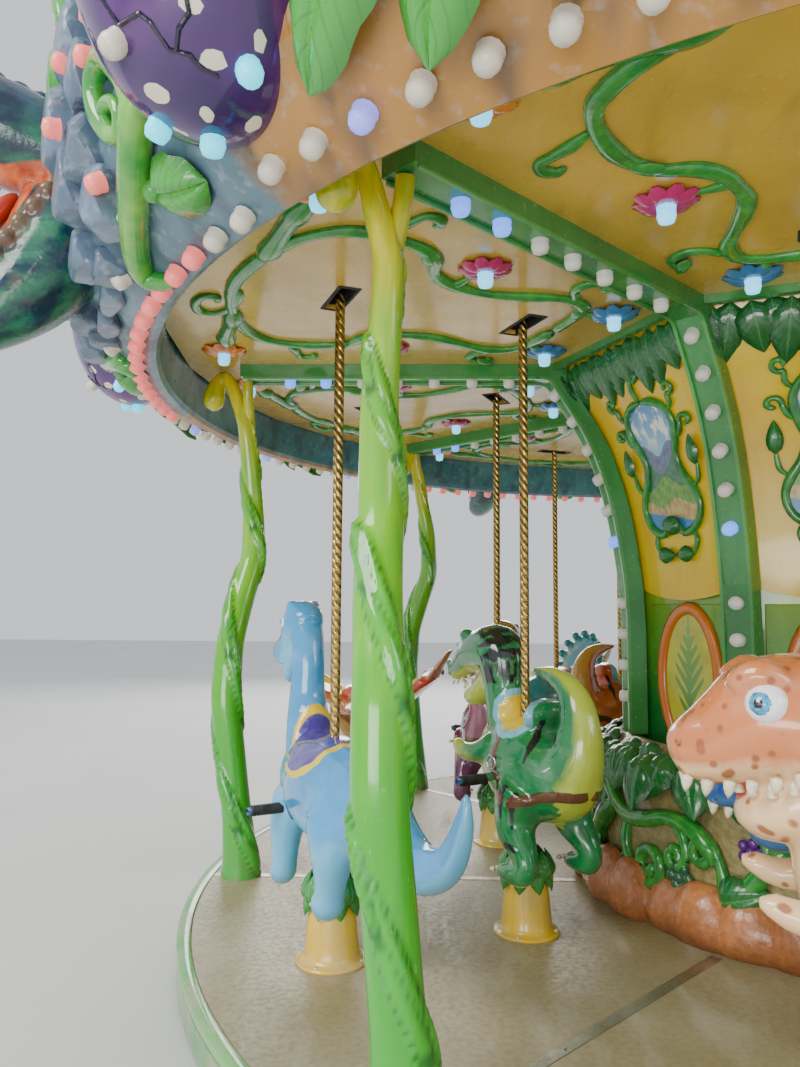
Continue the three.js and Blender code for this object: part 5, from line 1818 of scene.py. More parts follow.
def landscape_paint():
    """A generic landscape on the panel's own UV map: sky, clouds, two ranges of hills, a lake and tufts."""
    paint = Paint("painted_landscape", coat=0.5)
    x, y = paint.chart("X"), paint.chart("Y")
    where = paint.node("ShaderNodeUVMap", uv_map="UVMap").outputs[0]
    blotch = paint.span(paint.grain(18.0, 4.0, where=where), 0.4, 0.65)
    sky = paint.ramp(y, [(0.0, (0.55, 0.74, 0.8)), (0.55, (0.3, 0.58, 0.78)), (1.0, (0.05, 0.24, 0.55))])
    puffs = paint.span(paint.grain(7.0, 4.0, where=where), 0.5, 0.6)
    paint.colour(paint.blend(paint.times(puffs, paint.span(y, 0.6, 0.72)), sky, (0.88, 0.86, 0.82)))
    layers = [(0.62, 0.05, 9.0, 0.6, (0.16, 0.22, 0.36)), (0.5, 0.07, 6.0, 2.1, (0.06, 0.24, 0.12)),
              (0.36, 0.05, 8.0, 4.0, (0.18, 0.42, 0.06)), (0.2, 0.03, 11.0, 1.0, (0.62, 0.45, 0.16))]
    for level, swing, pace, shift, tone in layers:
        crest = paint.sum("SINE", paint.sum("ADD", paint.times(x, pace), shift))
        crest = paint.sum("ADD", paint.times(crest, swing), level)
        under = paint.span(paint.sum("SUBTRACT", crest, y), 0.0, 0.008)
        paint.over(under, paint.blend(blotch, tone, shade(tone, 0.6)))
    paint.over(paint.span(paint.sum("ADD", y, paint.times(x, 0.1)), 0.155, 0.145), (0.04, 0.22, 0.48))
    paint.rough(paint.mottle(12.0, 3.0, 0.3, 0.7, 0.12, 0.26))
    return paint.relief(paint.grain(60.0), 0.08, 0.001).material


def emblem_paint(base, leafy_tone):
    """A spray of pointed fronds on a plain ground, on the oval's own UV map."""
    paint = Paint("painted_frond", coat=0.5)
    y = paint.chart("Y")
    across = paint.sum("ABSOLUTE", paint.sum("SUBTRACT", paint.chart("X"), 0.5))
    half = paint.times(paint.sum("SINE", paint.span(y, 0.16, 0.9, 0.0, math.pi)), 0.26)
    comb = paint.sum("SINE", paint.times(paint.sum("SUBTRACT", y, paint.times(across, 0.7)), 62.0))
    reach = paint.times(half, paint.span(comb, -1.0, 0.6, 0.15, 1.0))
    inside = paint.span(paint.sum("SUBTRACT", reach, across), 0.0, 0.012)
    stem = paint.span(across, 0.012, 0.02, 1.0, 0.0)
    stem = paint.times(stem, paint.span(y, 0.08, 0.1))
    ground = paint.blend(paint.mottle(9.0, 3.0, 0.3, 0.7), base, shade(base, 0.72))
    tone = paint.blend(paint.span(y, 0.2, 0.9), leafy_tone, tint(leafy_tone, (0.5, 0.7, 0.1), 0.4))
    paint.colour(paint.blend(paint.sum("MAXIMUM", inside, stem), ground, tone))
    paint.rough(paint.mottle(14.0, 3.0, 0.3, 0.7, 0.12, 0.28))
    return paint.relief(inside, 0.2, 0.001).material


def make_flared_panels(colours):
    """The bowed yellow panels."""
    panel = faced_out(sheet("flare_panel", 20, 36, lambda u, v: flare_point(u * 2 - 1, v)))
    applied(panel, "SOLIDIFY", thickness=0.014, offset=-1.0)
    ringed([panel], "flared_panels", 50, gloss("panel_yellow", colours.yellow, 0.7, 0.35), "yellow_gloss",
           "centre_flare", turns=MIDDLES)


def make_leaf_fringe(sizes):
    """The two rows of leaves over each panel."""
    leaves = []
    for k, (reach, lean) in enumerate(FRINGE):
        across = -0.43 + 0.143 * k
        top = flare_point(*panel_place(across, 0.03), 0.022)
        low = flare_point(*panel_place(across, 0.03 + reach), 0.03)
        along = (low - top).normalized()
        out = along.cross(Vector((0, 1, 0))).normalized()
        one = leaf("fringe_leaf", reach, 0.15, sizes.leaf_thickness, 0.22, 0.1)
        leaves.append(laid(one, top, along, out if out.x > 0 else -out, lean))
        leaves.append(copied(one, Matrix.Translation((-0.006, 0.07, 0.01))))
    ringed(leaves, "leaf_fringe", 60, leafy("fringe_leaf_green", (0.012, 0.15, 0.03), (0.05, 0.3, 0.06)),
           "green_gloss", turns=MIDDLES)


def make_picture_frames():
    """The vines and leaves round each panel's picture."""
    vines, picture_leaves = [], []
    for way in (1, -1):
        side = [(way * a, d) for a, d in PICTURE_SIDE]
        vines.append(panel_vine(side, 0.019, 46))
        vines.append(panel_vine([(way * 0.14, 0.38), (way * 0.175, 0.35), (way * 0.178, 0.3),
                                 *curl(way * 0.195, 0.27, 0.034, 90, 0.9, -way)], 0.012, 26))
        vines.append(panel_vine([(way * 0.135, 0.52), (way * 0.17, 0.49), (way * 0.19, 0.44),
                                 *curl(way * 0.222, 0.445, 0.036, 180 if way > 0 else 0, 0.9, way)], 0.013,
                                26))
        vines.append(panel_vine([(way * 0.165, 0.76), (way * 0.2, 0.73), (way * 0.212, 0.68),
                                 (way * 0.215, 0.64)], 0.011, 14))
        vines.append(panel_vine([(way * 0.12, 0.945), (way * 0.135, 0.99), (way * 0.105, 1.03),
                                 (way * 0.06, 1.045)], 0.012, 16))
        for across, down, heading, reach, wide in (
            (0.216, 0.655, -88, 0.13, 0.06), (0.11, 1.03, 178, 0.105, 0.07), (0.045, 0.9, 150, 0.1, 0.085),
        ):
            at = flare_point(*panel_place(way * across, down), 0.024)
            near = flare_point(*panel_place(way * across, down + 0.02), 0.024)
            down_way = (near - at).normalized()
            out = Vector((0, 1, 0)).cross(down_way)
            out = out if out.x > 0 else -out
            a = math.radians(heading)
            along = (Vector((0, way * math.cos(a), 0)) + down_way * math.sin(a)).normalized()
            picture_leaves.append(laid(leaf("picture_leaf", reach, wide, 0.008, 0.35, 0.0, 7), at, along,
                                       out))
    vines.append(panel_vine([(0.0, 0.3), (-0.012, 0.24), (-0.002, 0.19),
                             *curl(0.028, 0.18, 0.032, 180, 0.9, 1)], 0.013, 26))
    ringed(vines, "picture_frames", 70, vine_paint("frame_vine_green", (0.015, 0.2, 0.04)), "green_gloss",
           turns=MIDDLES)
    ringed(picture_leaves, "picture_leaves", 60,
           leafy("picture_leaf_green", (0.015, 0.19, 0.035), (0.05, 0.34, 0.06)), "green_gloss",
           turns=MIDDLES)


def make_panel_pictures():
    """The painted landscapes in their frames."""
    def canvas(u, v):
        down = 0.302 + 0.645 * (1 - v)
        half = picture_edge(min(max(down, 0.303), 0.94))
        return flare_point(*panel_place((u * 2 - 1) * half, down), 0.004)

    picture = faced_out(sheet("picture", 14, 40, canvas), 200)
    applied(picture, "SOLIDIFY", thickness=0.004, offset=1.0)
    ringed([picture], "panel_pictures", 60, landscape_paint(), "yellow_gloss", turns=MIDDLES)


class CAROUSEL_OT_flare(bpy.types.Operator):
    """Makes the flared yellow panels with their leaf fringe, vine frames and painted landscapes"""
    bl_idname = "carousel.flare"
    bl_label = "Flared panels"

    def execute(self, context):
        sizes, colours = context.scene.carousel_sizes, context.scene.carousel_colours
        make_flared_panels(colours)
        make_leaf_fringe(sizes)
        make_picture_frames()
        make_panel_pictures()
        return {"FINISHED"}


def make_drum_panels(flat):
    """The walls, insets and rails of the drum."""
    half = DRUM_RADIUS * math.sin(HALF_PANEL)
    low, high = DECK_TOP + 0.001, DECK_TOP + 1.42
    wall = block("wall", (flat - 0.024, -half * 0.995, low), (flat - 0.001, half * 0.995, high), 0.003, 1)
    inset = block("inset", (flat - 0.006, -half * 0.8, low + 0.4), (flat + 0.006, half * 0.8, high - 0.1),
                  0.006)
    rail = block("rail", (flat - 0.006, -half * 0.99, low + 0.34), (flat + 0.01, half * 0.99, low + 0.385),
                 0.005)
    greens = [(0.0, (0.012, 0.15, 0.035)), (0.35, (0.02, 0.22, 0.04)), (0.68, (0.1, 0.38, 0.03)),
              (1.0, (0.36, 0.52, 0.03))]
    ringed([wall, inset, rail], "drum_panels", 35,
           graded("drum_green", greens, DECK_TOP + 0.45, DECK_TOP + 1.45),
           "green_gloss", "centre_drum", turns=MIDDLES)


def make_ovals(flat):
    """The ovals with their frames and fronds."""
    centre, wide, tall = DECK_TOP + 0.985, 0.185, 0.315

    def ring(u, v):
        a = v * 2 * math.pi
        b = u * 2 * math.pi
        out = Vector((0, math.cos(a) / wide, math.sin(a) / tall)).normalized()
        spot = Vector((flat + 0.012, wide * math.cos(a), centre + tall * math.sin(a)))
        return spot + out * 0.03 * math.cos(b) + Vector((1, 0, 0)) * 0.02 * math.sin(b)

    ringed([closed(sheet("oval_ring", 10, 48, ring))], "oval_frames", 80,
           gloss("oval_orange", (0.7, 0.2, 0.02), 0.6, 0.6), "clay_rock", turns=MIDDLES)

    def plate(u, v):
        x, y = u * 2 - 1, v * 2 - 1
        reach = max(abs(x), abs(y))
        scale = reach / max(math.hypot(x, y), 1e-6) if reach > 1e-6 else 0.0
        return Vector((flat + 0.014, x * scale * wide, centre + y * scale * tall))

    oval = faced_out(sheet("oval_plate", 20, 24, plate), 230)
    uv = oval.data.uv_layers[0].data
    for loop in oval.data.loops:
        co = oval.data.vertices[loop.vertex_index].co
        uv[loop.index].uv = (0.5 + co.y / (2 * wide), 0.5 + (co.z - centre) / (2 * tall))
    applied(oval, "SOLIDIFY", thickness=0.006, offset=-1.0)
    ringed([oval], "oval_pictures", 60, emblem_paint((0.62, 0.6, 0.02), (0.05, 0.26, 0.04)), "yellow_gloss",
           turns=MIDDLES)


class CAROUSEL_OT_drum(bpy.types.Operator):
    """Makes the drum's panels with their framed ovals"""
    bl_idname = "carousel.drum"
    bl_label = "Drum"

    def execute(self, context):
        flat = DRUM_RADIUS * math.cos(HALF_PANEL)
        make_drum_panels(flat)
        make_ovals(flat)
        return {"FINISHED"}


def rock_paint(name, light_tone, dark_tone, rough, grit):
    paint = Paint(name, coat=0.35)
    cloud = paint.mottle(4.0, 6.0, 0.32, 0.68)
    fine = paint.mottle(38.0, 7.0, 0.36, 0.66)
    paint.colour(paint.blend(cloud, dark_tone, light_tone))
    paint.over(paint.times(fine, 0.45), shade(dark_tone, 0.55))
    paint.over(paint.span(paint.axis("Z"), DECK_TOP, DECK_TOP + 0.12, 0.7, 0.0), shade(dark_tone, 0.4))
    paint.rough(paint.span(fine, 0.0, 1.0, rough, rough + 0.25))
    height = paint.sum("ADD", paint.grain(12.0, 5.0), paint.times(fine, grit))
    return paint.relief(height, 0.55, 0.01).material


# The rockwork's face as (height, radius) and the section of the ring of stones as (radius, height)
ROCK_FACE = [(0.0, 1.118), (0.12, 1.132), (0.25, 1.134), (0.38, 1.122), (0.48, 1.104), (0.58, 1.07),
             (0.66, 1.018),
             (0.7, 0.975)]
RING_LINE = [(1.148, 0.001), (1.206, 0.001), (1.222, 0.02), (1.232, 0.06), (1.228, 0.11), (1.214, 0.155),
             (1.192, 0.19), (1.17, 0.212), (1.155, 0.218), (1.149, 0.2), (1.147, 0.12), (1.147, 0.06)]


def wall_radius(line, height):
    """The radius at a height on a line of (height, radius)."""
    for (z0, r0), (z1, r1) in zip(line, line[1:]):
        if height <= z1:
            return r0 + (r1 - r0) * max(height - z0, 0) / (z1 - z0)
    return line[-1][1]


def rock_surface(angle, height, lift=0.0):
    """The rockwork's face at an angle in radians and a height above the deck."""
    radius = wall_radius(ROCK_FACE, height)
    lump = noise.noise(Vector((math.cos(angle) * 3.2, math.sin(angle) * 3.2, height * 4.0)))
    return polar(radius + 0.018 * lump + lift, angle, height + DECK_TOP)


def rock_vine(line, fat, rings):
    """A thick vine over the rockwork, from (degrees, height) points, round +X."""
    stations = []
    last = len(line) - 1
    for i, (degrees, height) in enumerate(line):
        taper = 0.35 if i == last else (0.7 if i == 0 else 1.0)
        spot = rock_surface(math.radians(degrees), height, fat * 0.45)
        stations.append((*spot, fat * taper * (1 + 0.1 * math.sin(2.2 * i))))
    return tube("rock_vine", stations, 10, rings, 0.9, (1, 0, 0.2))


def rock_curl(degrees, height, radius, start, turns, way):
    """The same on the rockwork, in (degrees, height)."""
    return curl(degrees, height, radius, start, turns, way, 11, 0.78, math.degrees(1 / 1.13))


def rock_leaf(degrees, height, heading, reach, wide, droop):
    """A leaf lying on the rockwork. heading is in degrees from the level direction, counterclockwise."""
    one = leaf("rock_leaf", reach, wide, 0.012, 0.28, droop, 9, 8)
    a, h, lift = math.radians(degrees), math.radians(heading), 0.03
    side = Vector((-math.sin(a), math.cos(a), 0))
    over = (rock_surface(a, height + 0.04, lift) - rock_surface(a, height - 0.04, lift)).normalized()
    along = side * math.cos(h) + over * math.sin(h)
    return laid(one, rock_surface(a, height, lift), along, side.cross(over))


def make_rock_base(colours):
    """The rock round the drum's foot."""
    steps = 192

    def face(u, v):
        row = round(v * 18)
        angle = round(u * steps) % steps * 2 * math.pi / steps
        if row <= 15:
            return rock_surface(angle, 0.001 + 0.699 * row / 15)
        return polar((0.94, 0.93, 0.93)[row - 16], angle, DECK_TOP + (0.695, 0.5, 0.001)[row - 16])

    rock = mended(closed(sheet("rock", steps, 18, face), 1e-6), bpy.ops.mesh.bridge_edge_loops, 1e-6)
    sand_paint = rock_paint("sand_rock_face", tint(colours.sand, (0.45, 0.36, 0.12), 0.5),
                            shade(colours.sand, 0.55), 0.42, 0.7)
    placed(painted(smooth(rock, 50), sand_paint), "turntable", "sand_rock", "rock_base")


def make_stone_ring(colours):
    """The ring of wedge-shaped stones."""
    wedges = 40

    def stones(u, v):
        row = round(v * 12)
        spin = round(u * wedges * 5) % (wedges * 5) / 5
        block_no, across = int(spin), spin - int(spin)
        angle = (block_no + across) * 2 * math.pi / wedges
        hump = math.sin(math.pi * min(max(across, 0.0), 1.0)) ** 0.35
        grow = 0.02 * math.sin(block_no * 2.4) + 0.014 * math.sin(block_no * 5.1 + 1.0)
        slant = (across - 0.5) * 0.03 * math.cos(block_no * 1.9)
        radius, height = RING_LINE[row % 12]
        if radius > 1.16:
            radius += (grow + slant) * 0.8 + 0.018 * (hump - 0.7)
        if height > 0.1:
            height += 0.028 * (hump - 0.7) + grow * 0.8
        return polar(radius, angle, height + DECK_TOP)

    ring = closed(sheet("stones", wedges * 5, 12, stones), 1e-6)
    clay_paint = rock_paint("clay_stone_face", tint(colours.clay, (0.75, 0.3, 0.1), 0.5),
                            shade(colours.clay, 0.5), 0.16, 0.25)
    placed(painted(smooth(ring, 38), clay_paint), "turntable", "clay_rock", "rock_ring")


def make_rock_vines():
    """The thick vines over the rock."""
    vines = [
        rock_vine([(-20, 0.6), (-15, 0.52), (-9, 0.44), (-3, 0.4), (3, 0.41), (9, 0.44), (15, 0.42),
                   (19, 0.36), (20, 0.3)], 0.036, 60),
        rock_vine([(-22, 0.1), (-19, 0.2), (-16, 0.3), (-12, 0.38), (-9, 0.44)], 0.044, 30),
        rock_vine([(-14, 0.34), (-15, 0.44), (-13, 0.53), *rock_curl(-9.5, 0.545, 0.055, 180, 1.3, -1)],
                  0.024, 50),
        rock_vine([(-3, 0.4), (-4, 0.32), (-3, 0.24), (1, 0.14), *rock_curl(4, 0.235, 0.085, 260, 1.35, 1)],
                  0.026, 60),
        rock_vine([(9, 0.44), (13, 0.38), (14, 0.3), *rock_curl(11.2, 0.3, 0.05, 0, 1.2, -1)], 0.022, 50),
        rock_vine([(6, 0.1), (10, 0.15), (15, 0.16), (21, 0.13), (25, 0.1)], 0.03, 36),
        rock_vine([(20, 0.14), (22, 0.24), (21, 0.33), *rock_curl(17.6, 0.335, 0.06, 0, 1.3, 1)], 0.024, 50),
        rock_vine([(-8, 0.1), (-7, 0.18), (-4, 0.24)], 0.022, 16),
    ]
    ringed(vines, "rock_vines", 80, vine_paint("rock_vine_green", (0.018, 0.23, 0.035)), "green_gloss",
           turns=MIDDLES)


def make_rock_leaves():
    """The leaves over the rock's top edge."""
    leaves = [rock_leaf(*where) for where in (
        (-21, 0.6, -40, 0.22, 0.17, 0.15), (-14, 0.66, -62, 0.2, 0.17, 0.2),
        (-7, 0.67, -100, 0.21, 0.18, 0.2),
        (0, 0.66, -80, 0.26, 0.21, 0.15), (7, 0.67, -112, 0.22, 0.18, 0.2), (13, 0.66, -70, 0.24, 0.2, 0.15),
        (19, 0.67, -100, 0.2, 0.17, 0.2), (-18, 0.67, -95, 0.18, 0.15, 0.2),
        (-3.5, 0.7, -70, 0.15, 0.14, 0.2),
        (10, 0.7, -95, 0.16, 0.14, 0.2), (16, 0.7, -60, 0.15, 0.13, 0.2), (21.5, 0.18, 20, 0.2, 0.16, 0.1),
        (-11, 0.7, -80, 0.15, 0.14, 0.2), (20, 0.16, -60, 0.16, 0.15, 0.1),
    )]
    ringed(leaves, "rock_leaves", 60, leafy("rock_leaf_green", (0.014, 0.18, 0.035), (0.06, 0.34, 0.07)),
           "green_gloss", turns=MIDDLES)


def make_rock_flowers():
    """The small flowers on the vines."""
    blooms = []
    for degrees, height, lobes, reach, tone in ((12.4, 0.225, 6, 0.04, (0.01, 0.11, 0.045)),
                                                (-17.6, 0.385, 5, 0.034, (0.13, 0.02, 0.26))):
        at = rock_surface(math.radians(degrees), height, 0.012)
        side = Vector((-math.sin(math.radians(degrees)), math.cos(math.radians(degrees)), 0))
        half = reach * 0.62
        parts = [ball("lobe", at + side * reach * math.cos(a) + Vector((0, 0, reach * math.sin(a))),
                      (0.02, half, half), 12, 8) for a in [i * 2 * math.pi / lobes for i in range(lobes)]]
        bloom = joined([*parts, ball("middle", at, (0.026, half, half), 12, 8)], "bloom")
        blooms.append(painted(smooth(bloom, 60), gloss(f"bloom_{lobes}", tone, 0.4, 0.6)))
    placed(around(blooms, "rock_flowers", MIDDLES), "turntable", "green_gloss")


class CAROUSEL_OT_rockwork(bpy.types.Operator):
    """Makes the rock at the centre's foot, its vines, leaves and flowers, and the ring of stones round it"""
    bl_idname = "carousel.rockwork"
    bl_label = "Rockwork"

    def execute(self, context):
        colours = context.scene.carousel_colours
        make_rock_base(colours)
        make_stone_ring(colours)
        make_rock_vines()
        make_rock_leaves()
        make_rock_flowers()
        return {"FINISHED"}


# Cornice: rockwork, eggs, vines, leaves, lamps, dinosaur busts and the roof

FACE = [(2.258, 3.225), (2.29, 3.285), (2.325, 3.32), (2.435, 3.45), (2.6, 3.492), (2.8, 3.515),
        (2.98, 3.497),
        (3.15, 3.47), (3.26, 3.442), (3.345, 3.425)]
EGG_CENTRE = Vector((3.455, 0, 2.755 + DECK_TOP))
EGG_SIZE = (0.315, 0.315, 0.44)


def face_radius(height):
    return wall_radius(FACE, height)


def is_clay(angle):
    """Whether this angle is in one of the orange sectors, with a wandering border."""
    wander = 0.05 * noise.noise(Vector((math.cos(angle) * 9, math.sin(angle) * 9, 0)))
    return int((angle + wander) % (2 * math.pi) / SECTOR) % 2


def facets(angle, height, size, depth):
    """How far a flat-faced rock stands out here, and how near this is to a crack."""
    point = Vector((math.cos(angle) * 3.4, math.sin(angle) * 3.4, height * 1.15)) / size
    distances, centres = noise.voronoi(point)
    tilt = noise.noise_vector(centres[0] * 7.3)
    offset = depth * (tilt.x * 0.5 + (point - centres[0]).dot(tilt) * 1.3)
    crack = 1 - ease(distances[1] - distances[0], 0.0, 0.13)
    return offset - depth * 0.45 * crack, crack


def face_spot(degrees, height, lift=0.0):
    """A point on the cornice's face at degrees round the ride and a height above the deck."""
    angle = math.radians(degrees)
    return polar(face_radius(height) + lift, angle, height + DECK_TOP)


def face_out(degrees, height):
    """The way out of the face here."""
    low, high = max(height - 0.03, 2.258), min(height + 0.03, 3.345)
    rise, run = high - low, face_radius(high) - face_radius(low)
    return (polar(rise, math.radians(degrees)) + Vector((0, 0, -run))).normalized()


def stone_paint(name, light_tone, dark_tone, second=None):
    """Rock in one tone, or in a second one with painted shade in the cracks where the mesh marks them."""
    paint = Paint(name, coat=0.25)
    cloud = paint.mottle(3.0, 5.0, 0.32, 0.68)
    paint.colour(paint.blend(cloud, dark_tone, light_tone))
    if second:
        warm = paint.blend(cloud, shade(second, 0.45), second)
        gold = paint.span(paint.sum("ADD", paint.axis("Z"), paint.times(paint.grain(2.2, 3.0), 0.5)),
                          DECK_TOP + 2.62, DECK_TOP + 2.95, 0.75, 0.0)
        paint.over(paint.mark("clay"), paint.blend(gold, warm, (0.46, 0.25, 0.055)))
        paint.over(paint.mark("band"), paint.blend(cloud, (0.03, 0.16, 0.24), (0.1, 0.32, 0.4)))
    paint.over(paint.mottle(26.0, 6.0, 0.55, 0.75, 0.0, 0.4), tint(light_tone, (0.75, 0.74, 0.72), 0.6))
    if second:
        # painted shade: darker in the cracks between the flat faces
        paint.over(paint.times(paint.mark("crack"), 0.6), shade(dark_tone, 0.3))
    paint.rough(paint.mottle(9.0, 4.0, 0.3, 0.7, 0.22, 0.46))
    return paint.relief(paint.grain(34.0, 4.0), 0.2, 0.004).material


def boulder(seed, radii):
    """A flat-faced stone with softened edges, cut from a ball by a handful of planes."""
    planes = [(Vector(way), 0.8) for way in ((1, 0, 0), (0, 1, 0), (0, -1, 0), (0, 0, 1), (0, 0, -1))]
    for k in range(7):
        spot = Vector((seed * 1.7 + k * 3.1, seed * 0.9 - k, k * 2.3))
        planes.append((noise.noise_vector(spot).normalized(), 0.86 + 0.08 * (k % 2)))
    planes = [(normal.normalized(), reach) for normal, reach in planes]
    deselect()
    bpy.ops.mesh.primitive_ico_sphere_add(subdivisions=4, radius=1)
    obj = named("boulder")
    for point in obj.data.vertices:
        way = point.co.normalized()
        cut = min([reach / way.dot(normal) for normal, reach in planes if way.dot(normal) > 0.05] + [1.06])
        point.co = Vector([a * b for a, b in zip(way * cut, radii)]) * 1.12
    applied(obj, "DECIMATE", decimate_type="DISSOLVE", angle_limit=math.radians(9))
    applied(obj, "BEVEL", width=0.008, segments=2, limit_method="ANGLE", angle_limit=math.radians(12))
    return obj


def face_vine(line, fat):
    """A vine over the cornice's face from (degrees, height, size) points."""
    stations = [(*face_spot(d, z, fat * s * 0.6), fat * s) for d, z, s in line]
    return tube("face_vine", stations, 12, 90, 0.9, (1, 0, 0.2), carried=True)


def face_leaf(degrees, height, heading, reach, wide, arch, lift, droop, blunt=0.85):
    """A leaf on the cornice's face. heading 0 points up, 180 down and 90 towards larger angles."""
    one = leaf("face_leaf", reach, wide, 0.014, arch, droop, 12, 10, 0.3, blunt)
    out = face_out(degrees, height)
    side = Vector((-math.sin(math.radians(degrees)), math.cos(math.radians(degrees)), 0))
    over = out.cross(side)
    h = math.radians(heading)
    return laid(one, face_spot(degrees, height, lift), over * math.cos(h) + side * math.sin(h), out)


# Ovals on the egg over 225 degrees as (longitude, latitude, half length, half width, tilt), and its cracks
EGG_OVALS = [(285, -59, 0.031, 0.02, 0), (311, -50, 0.023, 0.016, -62), (223, -66, 0.034, 0.024, -30),
             (275, -79, 0.022, 0.016, -83), (358, -73, 0.028, 0.02, 157), (174, -77, 0.022, 0.01, -127),
             (273, -44, 0.028, 0.022, -28), (228, -20, 0.032, 0.026, 40), (330, -24, 0.03, 0.024, 15),
             (195, -10, 0.034, 0.026, 0), (262, 8, 0.036, 0.028, 20), (170, -40, 0.032, 0.024, 60),
             (120, -30, 0.034, 0.024, 20), (300, 14, 0.036, 0.026, -20), (215, 20, 0.034, 0.026, 70),
             (145, 16, 0.034, 0.026, 10), (190, 48, 0.034, 0.026, 0), (268, 46, 0.034, 0.026, 30)]
EGG_CRACK = [(225, -36), (230, -45), (245, -45), (250, -48), (256, -56), (269, -58), (276, -62), (290, -64)]
EGG_SPLIT = [(271, -38), (272, -47), (265, -51), (260, -57)]
EGG_LAMPS = [(310, -59), (96, -86), (172, -68), (222, -48), (20, -40), (130, -12), (320, 6)]


def make_rock_wall():
    """The cornice's ring of carved rock."""
    steps = 448
    rows = [(3.17, 2.566), (3.17, 2.5), (3.17, 2.44), (3.17, 2.36), (3.17, 2.3), (3.182, 2.276),
            (3.205, 2.262)]
    outer = 26
    face_heights = [2.262 + 1.083 * i / outer for i in range(1, outer + 1)]
    rows += [(face_radius(height), height) for height in face_heights]
    start, stop = 7, len(rows) - 1
    rows += [(3.372, 3.349), (3.4, 3.0), (3.435, 2.8), (3.362, 2.5), (3.212, 2.4), (3.211, 2.566)]

    def rough(step, row):
        if not start <= row < stop:
            return 0.0
        radius, height = rows[row]
        angle = step * 2 * math.pi / steps
        clay = is_clay(angle)
        deep = 0.085 if clay else 0.036
        return facets(angle, height, 0.27 if clay else 0.25, deep * ease(height, 2.25, 2.38))[0]

    wall = lathe("cornice_rock", [(r, z + DECK_TOP) for r, z in rows], steps, rough)
    marked(wall, "clay", lambda co: is_clay(math.atan2(co.y, co.x)))
    marked(wall, "band", lambda co: 1.0 if math.hypot(co.x, co.y) < 3.176 else 0.0)
    # where the painted shade of the cracks goes
    marked(wall, "crack", lambda co: facets(math.atan2(co.y, co.x), co.z - DECK_TOP,
                                            0.27 if is_clay(math.atan2(co.y, co.x)) else 0.25, 0.05)[1])
    smooth(wall, 24)
    slate, clay = (0.125, 0.235, 0.31), (0.6, 0.19, 0.045)
    placed(painted(wall, stone_paint("cornice_stone", slate, shade(slate, 0.55), clay)),
           "turntable", "slate_rock", "cornice")


def make_boulders():
    """The boulders beside the eggs."""
    stones = []
    for seed, (d, z, wide, tall, deep) in enumerate((
        (6.2, 2.77, 0.12, 0.13, 0.092), (7.4, 2.56, 0.11, 0.122, 0.088), (4.6, 2.42, 0.12, 0.08, 0.07),
        (8.8, 2.96, 0.12, 0.122, 0.09), (5.8, 3.08, 0.12, 0.11, 0.07), (10.6, 2.79, 0.09, 0.11, 0.055),
        (11.0, 2.43, 0.085, 0.1, 0.075), (2.2, 2.35, 0.11, 0.05, 0.045), (12.2, 3.13, 0.12, 0.11, 0.065),
        (10.4, 2.59, 0.085, 0.09, 0.08), (6.0, 2.37, 0.075, 0.06, 0.065),
    )):
        for way in (1, -1):
            one = boulder(seed * 1.7 + way, (deep, wide, tall))
            one.data.transform(turn(math.radians(way * d), *face_spot(way * d, z, 0.005)))
            stones.append(one)
    ringed(stones, "boulders", 30, stone_paint("boulder_stone", (0.15, 0.225, 0.32), (0.06, 0.095, 0.155)),
           "slate_rock", turns=MIDDLES[::2])


def make_eggs():
    """The spotted eggs with their cracks."""
    egg = ball("egg", (0, 0, 0), EGG_SIZE, 72, 48)

    def on_egg(longitude, latitude):
        a, b = math.radians(longitude - 225), math.radians(latitude)
        return Vector((math.cos(a) * math.cos(b) * EGG_SIZE[0], math.sin(a) * math.cos(b) * EGG_SIZE[1],
                       math.sin(b) * EGG_SIZE[2]))

    ovals = []
    for longitude, latitude, long_half, short_half, tilt in EGG_OVALS:
        centre = on_egg(longitude, latitude)
        out = Vector([c / s ** 2 for c, s in zip(centre, EGG_SIZE)]).normalized()
        side = Vector((0, 0, 1)).cross(out).normalized()
        over = out.cross(side)
        c, s = math.cos(math.radians(tilt)), math.sin(math.radians(tilt))
        ovals.append((centre, side * c + over * s, over * c - side * s, long_half, short_half))

    def spot(co):
        return max(1 - math.hypot((co - o[0]).dot(o[1]) / o[3], (co - o[0]).dot(o[2]) / o[4])
                   - 8 * max(0.0, (co - o[0]).length - 0.12) for o in ovals)

    cracks = []
    for line in (EGG_CRACK, EGG_SPLIT):
        spots = [on_egg(*p) for p in line]
        run = [a.lerp(b, t / 5) for a, b in zip(spots, spots[1:]) for t in range(5)] + [spots[-1]]
        cracks.append(tube("egg_crack", [(*p, 0.0055) for p in run], 6, 12 * len(spots), 1.0, (0, 0, 1)))
    marked(egg, "spot", spot)
    violet = Paint("egg_violet", coat=0.55)
    cloud = violet.mottle(3.0, 4.0, 0.35, 0.68)
    violet.colour(violet.blend(cloud, (0.032, 0.01, 0.095), (0.12, 0.03, 0.185)))
    violet.over(violet.span(violet.mark("spot"), 0.0, 0.06), (0.8, 0.73, 0.56))
    violet.rough(violet.mottle(14.0, 4.0, 0.3, 0.75, 0.06, 0.2))
    violet.relief(violet.grain(20.0, 3.0), 0.1, 0.003)
    painted(smooth(egg, 40), violet.material)
    crack_paint = gloss("egg_crack", (0.01, 0.005, 0.03), 0.3)
    egg = joined([egg, painted(smooth(joined(cracks, "egg_cracks"), 60), crack_paint)], "egg")
    egg.data.transform(Matrix.Translation(EGG_CENTRE))
    placed(around([egg], "spotted_eggs"), "turntable", "slate_rock")


